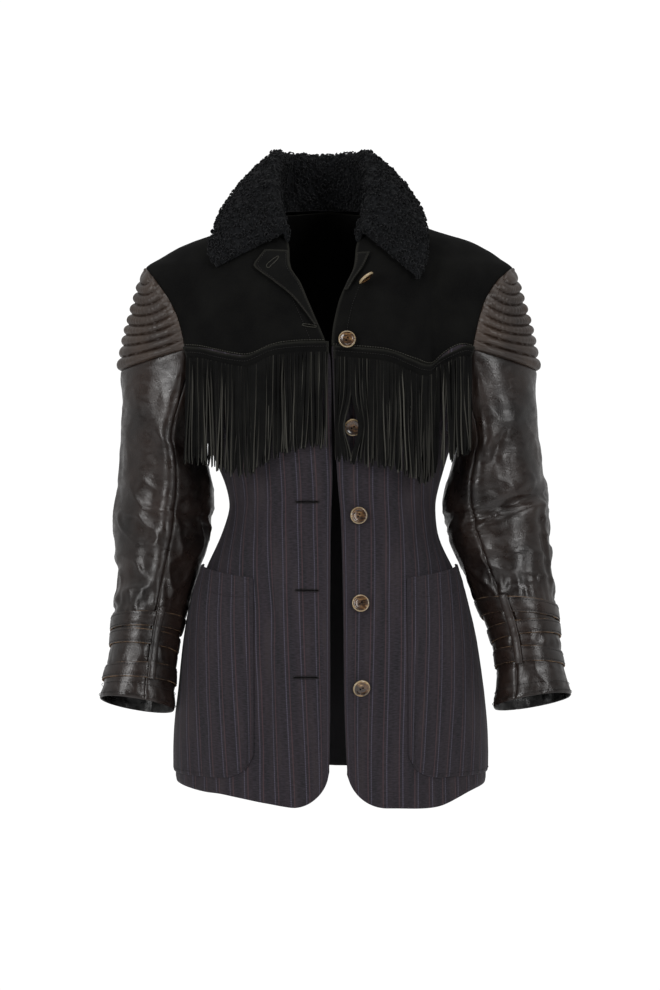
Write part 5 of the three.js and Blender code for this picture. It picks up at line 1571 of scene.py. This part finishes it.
SLIT = dark_slit()
hole_points, hole_faces = [], []
for number, (x, z, stand, shank, facing, tilt) in enumerate(BUTTONS, 1):
    turn = torso_turn(LEFT, x, z)
    normal = torso_normal(LEFT, turn, z)
    place = torso_point(LEFT, turn, z) + normal * stand
    axes = basis(facing if facing else normal, tilt)
    mesh = button_mesh(f"horn_button_{number}", place, axes, shank)
    button = placed(mesh.name, mesh)
    sew_up(button, "horn", f"button_{number}")
    for way in (-1, 1):
        spot = place + axes[0] * way * HOLE_APART / 2
        bar(hole_points, hole_faces, spot + axes[2] * 1.9, spot + axes[2] * 2.5, HOLE_RADIUS, 12)
holes = placed("button_holes", mesh_of("button_holes", hole_points, [], hole_faces, SLIT))
sew_up(holes, "horn")

slit_points, slit_faces, bound_paths = [], [], []
for x, z, long, tilt in BUTTONHOLES:
    ends = np.linspace(0, 2 * math.pi, 90)
    lean = math.tan(math.radians(tilt))
    along = -(1 - np.cos(ends)) / 2 * long
    wide = 1.35 * np.sign(np.sin(ends)) * np.abs(np.sin(ends)) ** 0.4
    xs, zs = x + along, z + wide - along * lean
    bound_paths.append(on_torso(RIGHT, torso_turn(RIGHT, xs, zs), zs, 0.9))
    xs = x - 1 - np.arange(SLIT_BARS + 1) * (long - 2) / SLIT_BARS
    spots = on_torso(RIGHT, torso_turn(RIGHT, xs, z), z + (x - xs) * lean, 0.75)
    for start, end in zip(spots, spots[1:]):
        bar(slit_points, slit_faces, start, end, 0.45, 6)
slits = placed("buttonhole_slits", mesh_of("buttonhole_slits", slit_points, [], slit_faces, SLIT))
sew_up(slits, "pinstripe")
around = np.linspace(0, 2 * math.pi, 60)
u, z = 0.5 + 0.17 * np.cos(around), -66 + 3.2 * np.sin(around) - 6 * np.cos(around)
lapel_hole = on_torso(RIGHT, *lapel_place(RIGHT, u, z), lapel_rise(u) + SUEDE_THICK + 0.3)
sew("buttonhole_binding", bound_paths[:-1], DARK_THREAD, "pinstripe", **BINDING)
sew("suede_buttonhole_binding", [bound_paths[-1], lapel_hole], PALE_THREAD, "suede", **BINDING)

# Studio
# A pale floor, a white room and large soft boxes, in metres. The camera stands where the jacket fills the
# frame as pictured.
FLOOR_Z, FLOOR_HALF = -1.4, 2.2
stage_mesh = bpy.data.meshes.new("floor")
corners = [(x * FLOOR_HALF, y * FLOOR_HALF, FLOOR_Z) for x, y in ((-1, -1), (1, -1), (1, 1), (-1, 1))]
stage_mesh.from_pydata(corners, [], [(0, 1, 2, 3)])
floor = placed("floor", stage_mesh)
paint, tree, shader = blank("pale_floor_paint")
speck = speckle(tree, own_place(tree), 3.0)
colour = shades(tree, speck, [(0.3, "#f6f6f6"), (0.8, "#ffffff")])
tune(shader, {"Base Color": colour, "Roughness": 0.9})
stage_mesh.materials.append(paint)

WHITE = (1, 1, 1, 1)
BACKDROP_LIGHT = 0.6
CAMERA_SIDE_LIGHT = 0.1
room = bpy.context.scene.world or bpy.data.worlds.new("room")
bpy.context.scene.world = room
room.use_nodes = True
tree = room.node_tree
tree.nodes.clear()
seen = add(tree, "ShaderNodeLightPath").outputs["Is Camera Ray"]
ahead = add(tree, "ShaderNodeTexCoord").outputs["Generated"]
ahead = add(tree, "ShaderNodeSeparateXYZ", {"Vector": ahead}).outputs["Y"]
wall_light = fade(tree, ahead, -0.6, 0.0, CAMERA_SIDE_LIGHT, BACKDROP_LIGHT)
lit = add(tree, "ShaderNodeBackground", {"Color": WHITE, "Strength": wall_light}).outputs[0]
white = add(tree, "ShaderNodeBackground", {"Color": WHITE, "Strength": 1.05}).outputs[0]
either = add(tree, "ShaderNodeMixShader", {0: seen, 1: lit, 2: white})
add(tree, "ShaderNodeOutputWorld", {"Surface": either.outputs[0]})


def soft_box(name, place, target, size, watts):
    """A large soft light that faces a point."""
    lamp = bpy.data.lights.new(name, "AREA")
    lamp.shape = "RECTANGLE"
    lamp.size, lamp.size_y = size
    lamp.energy = watts
    made = placed(name, lamp)
    away = np.array(place) - np.array(target)
    made.location = place
    made.rotation_euler = (math.acos(away[2] / np.linalg.norm(away)), 0, math.atan2(away[0], -away[1]))


soft_box("soft_box_right", (1.6, -2.4, 0.35), (0, 0, -0.3), (0.5, 1.8), 34)
soft_box("soft_box_left", (-1.8, -2.3, 0.35), (0, 0, -0.3), (0.5, 1.8), 40)
soft_box("soft_box_above", (0, -0.7, 2.0), (0, 0, -0.2), (1.4, 0.9), 16)

CAMERA_DISTANCE = 3.2
CAMERA_Z = -0.336
SENSOR = 24
FRAME_HEIGHT = 990 * 0.0012
lens = bpy.data.cameras.new("camera")
lens.sensor_fit = "VERTICAL"
lens.sensor_height = SENSOR
lens.lens = SENSOR * CAMERA_DISTANCE / FRAME_HEIGHT
camera = placed("camera", lens)
camera.location = (0, -CAMERA_DISTANCE, CAMERA_Z)
camera.rotation_euler = (math.pi / 2, 0, 0)
bpy.context.scene.camera = camera
bpy.context.scene.view_settings.view_transform = "Standard"
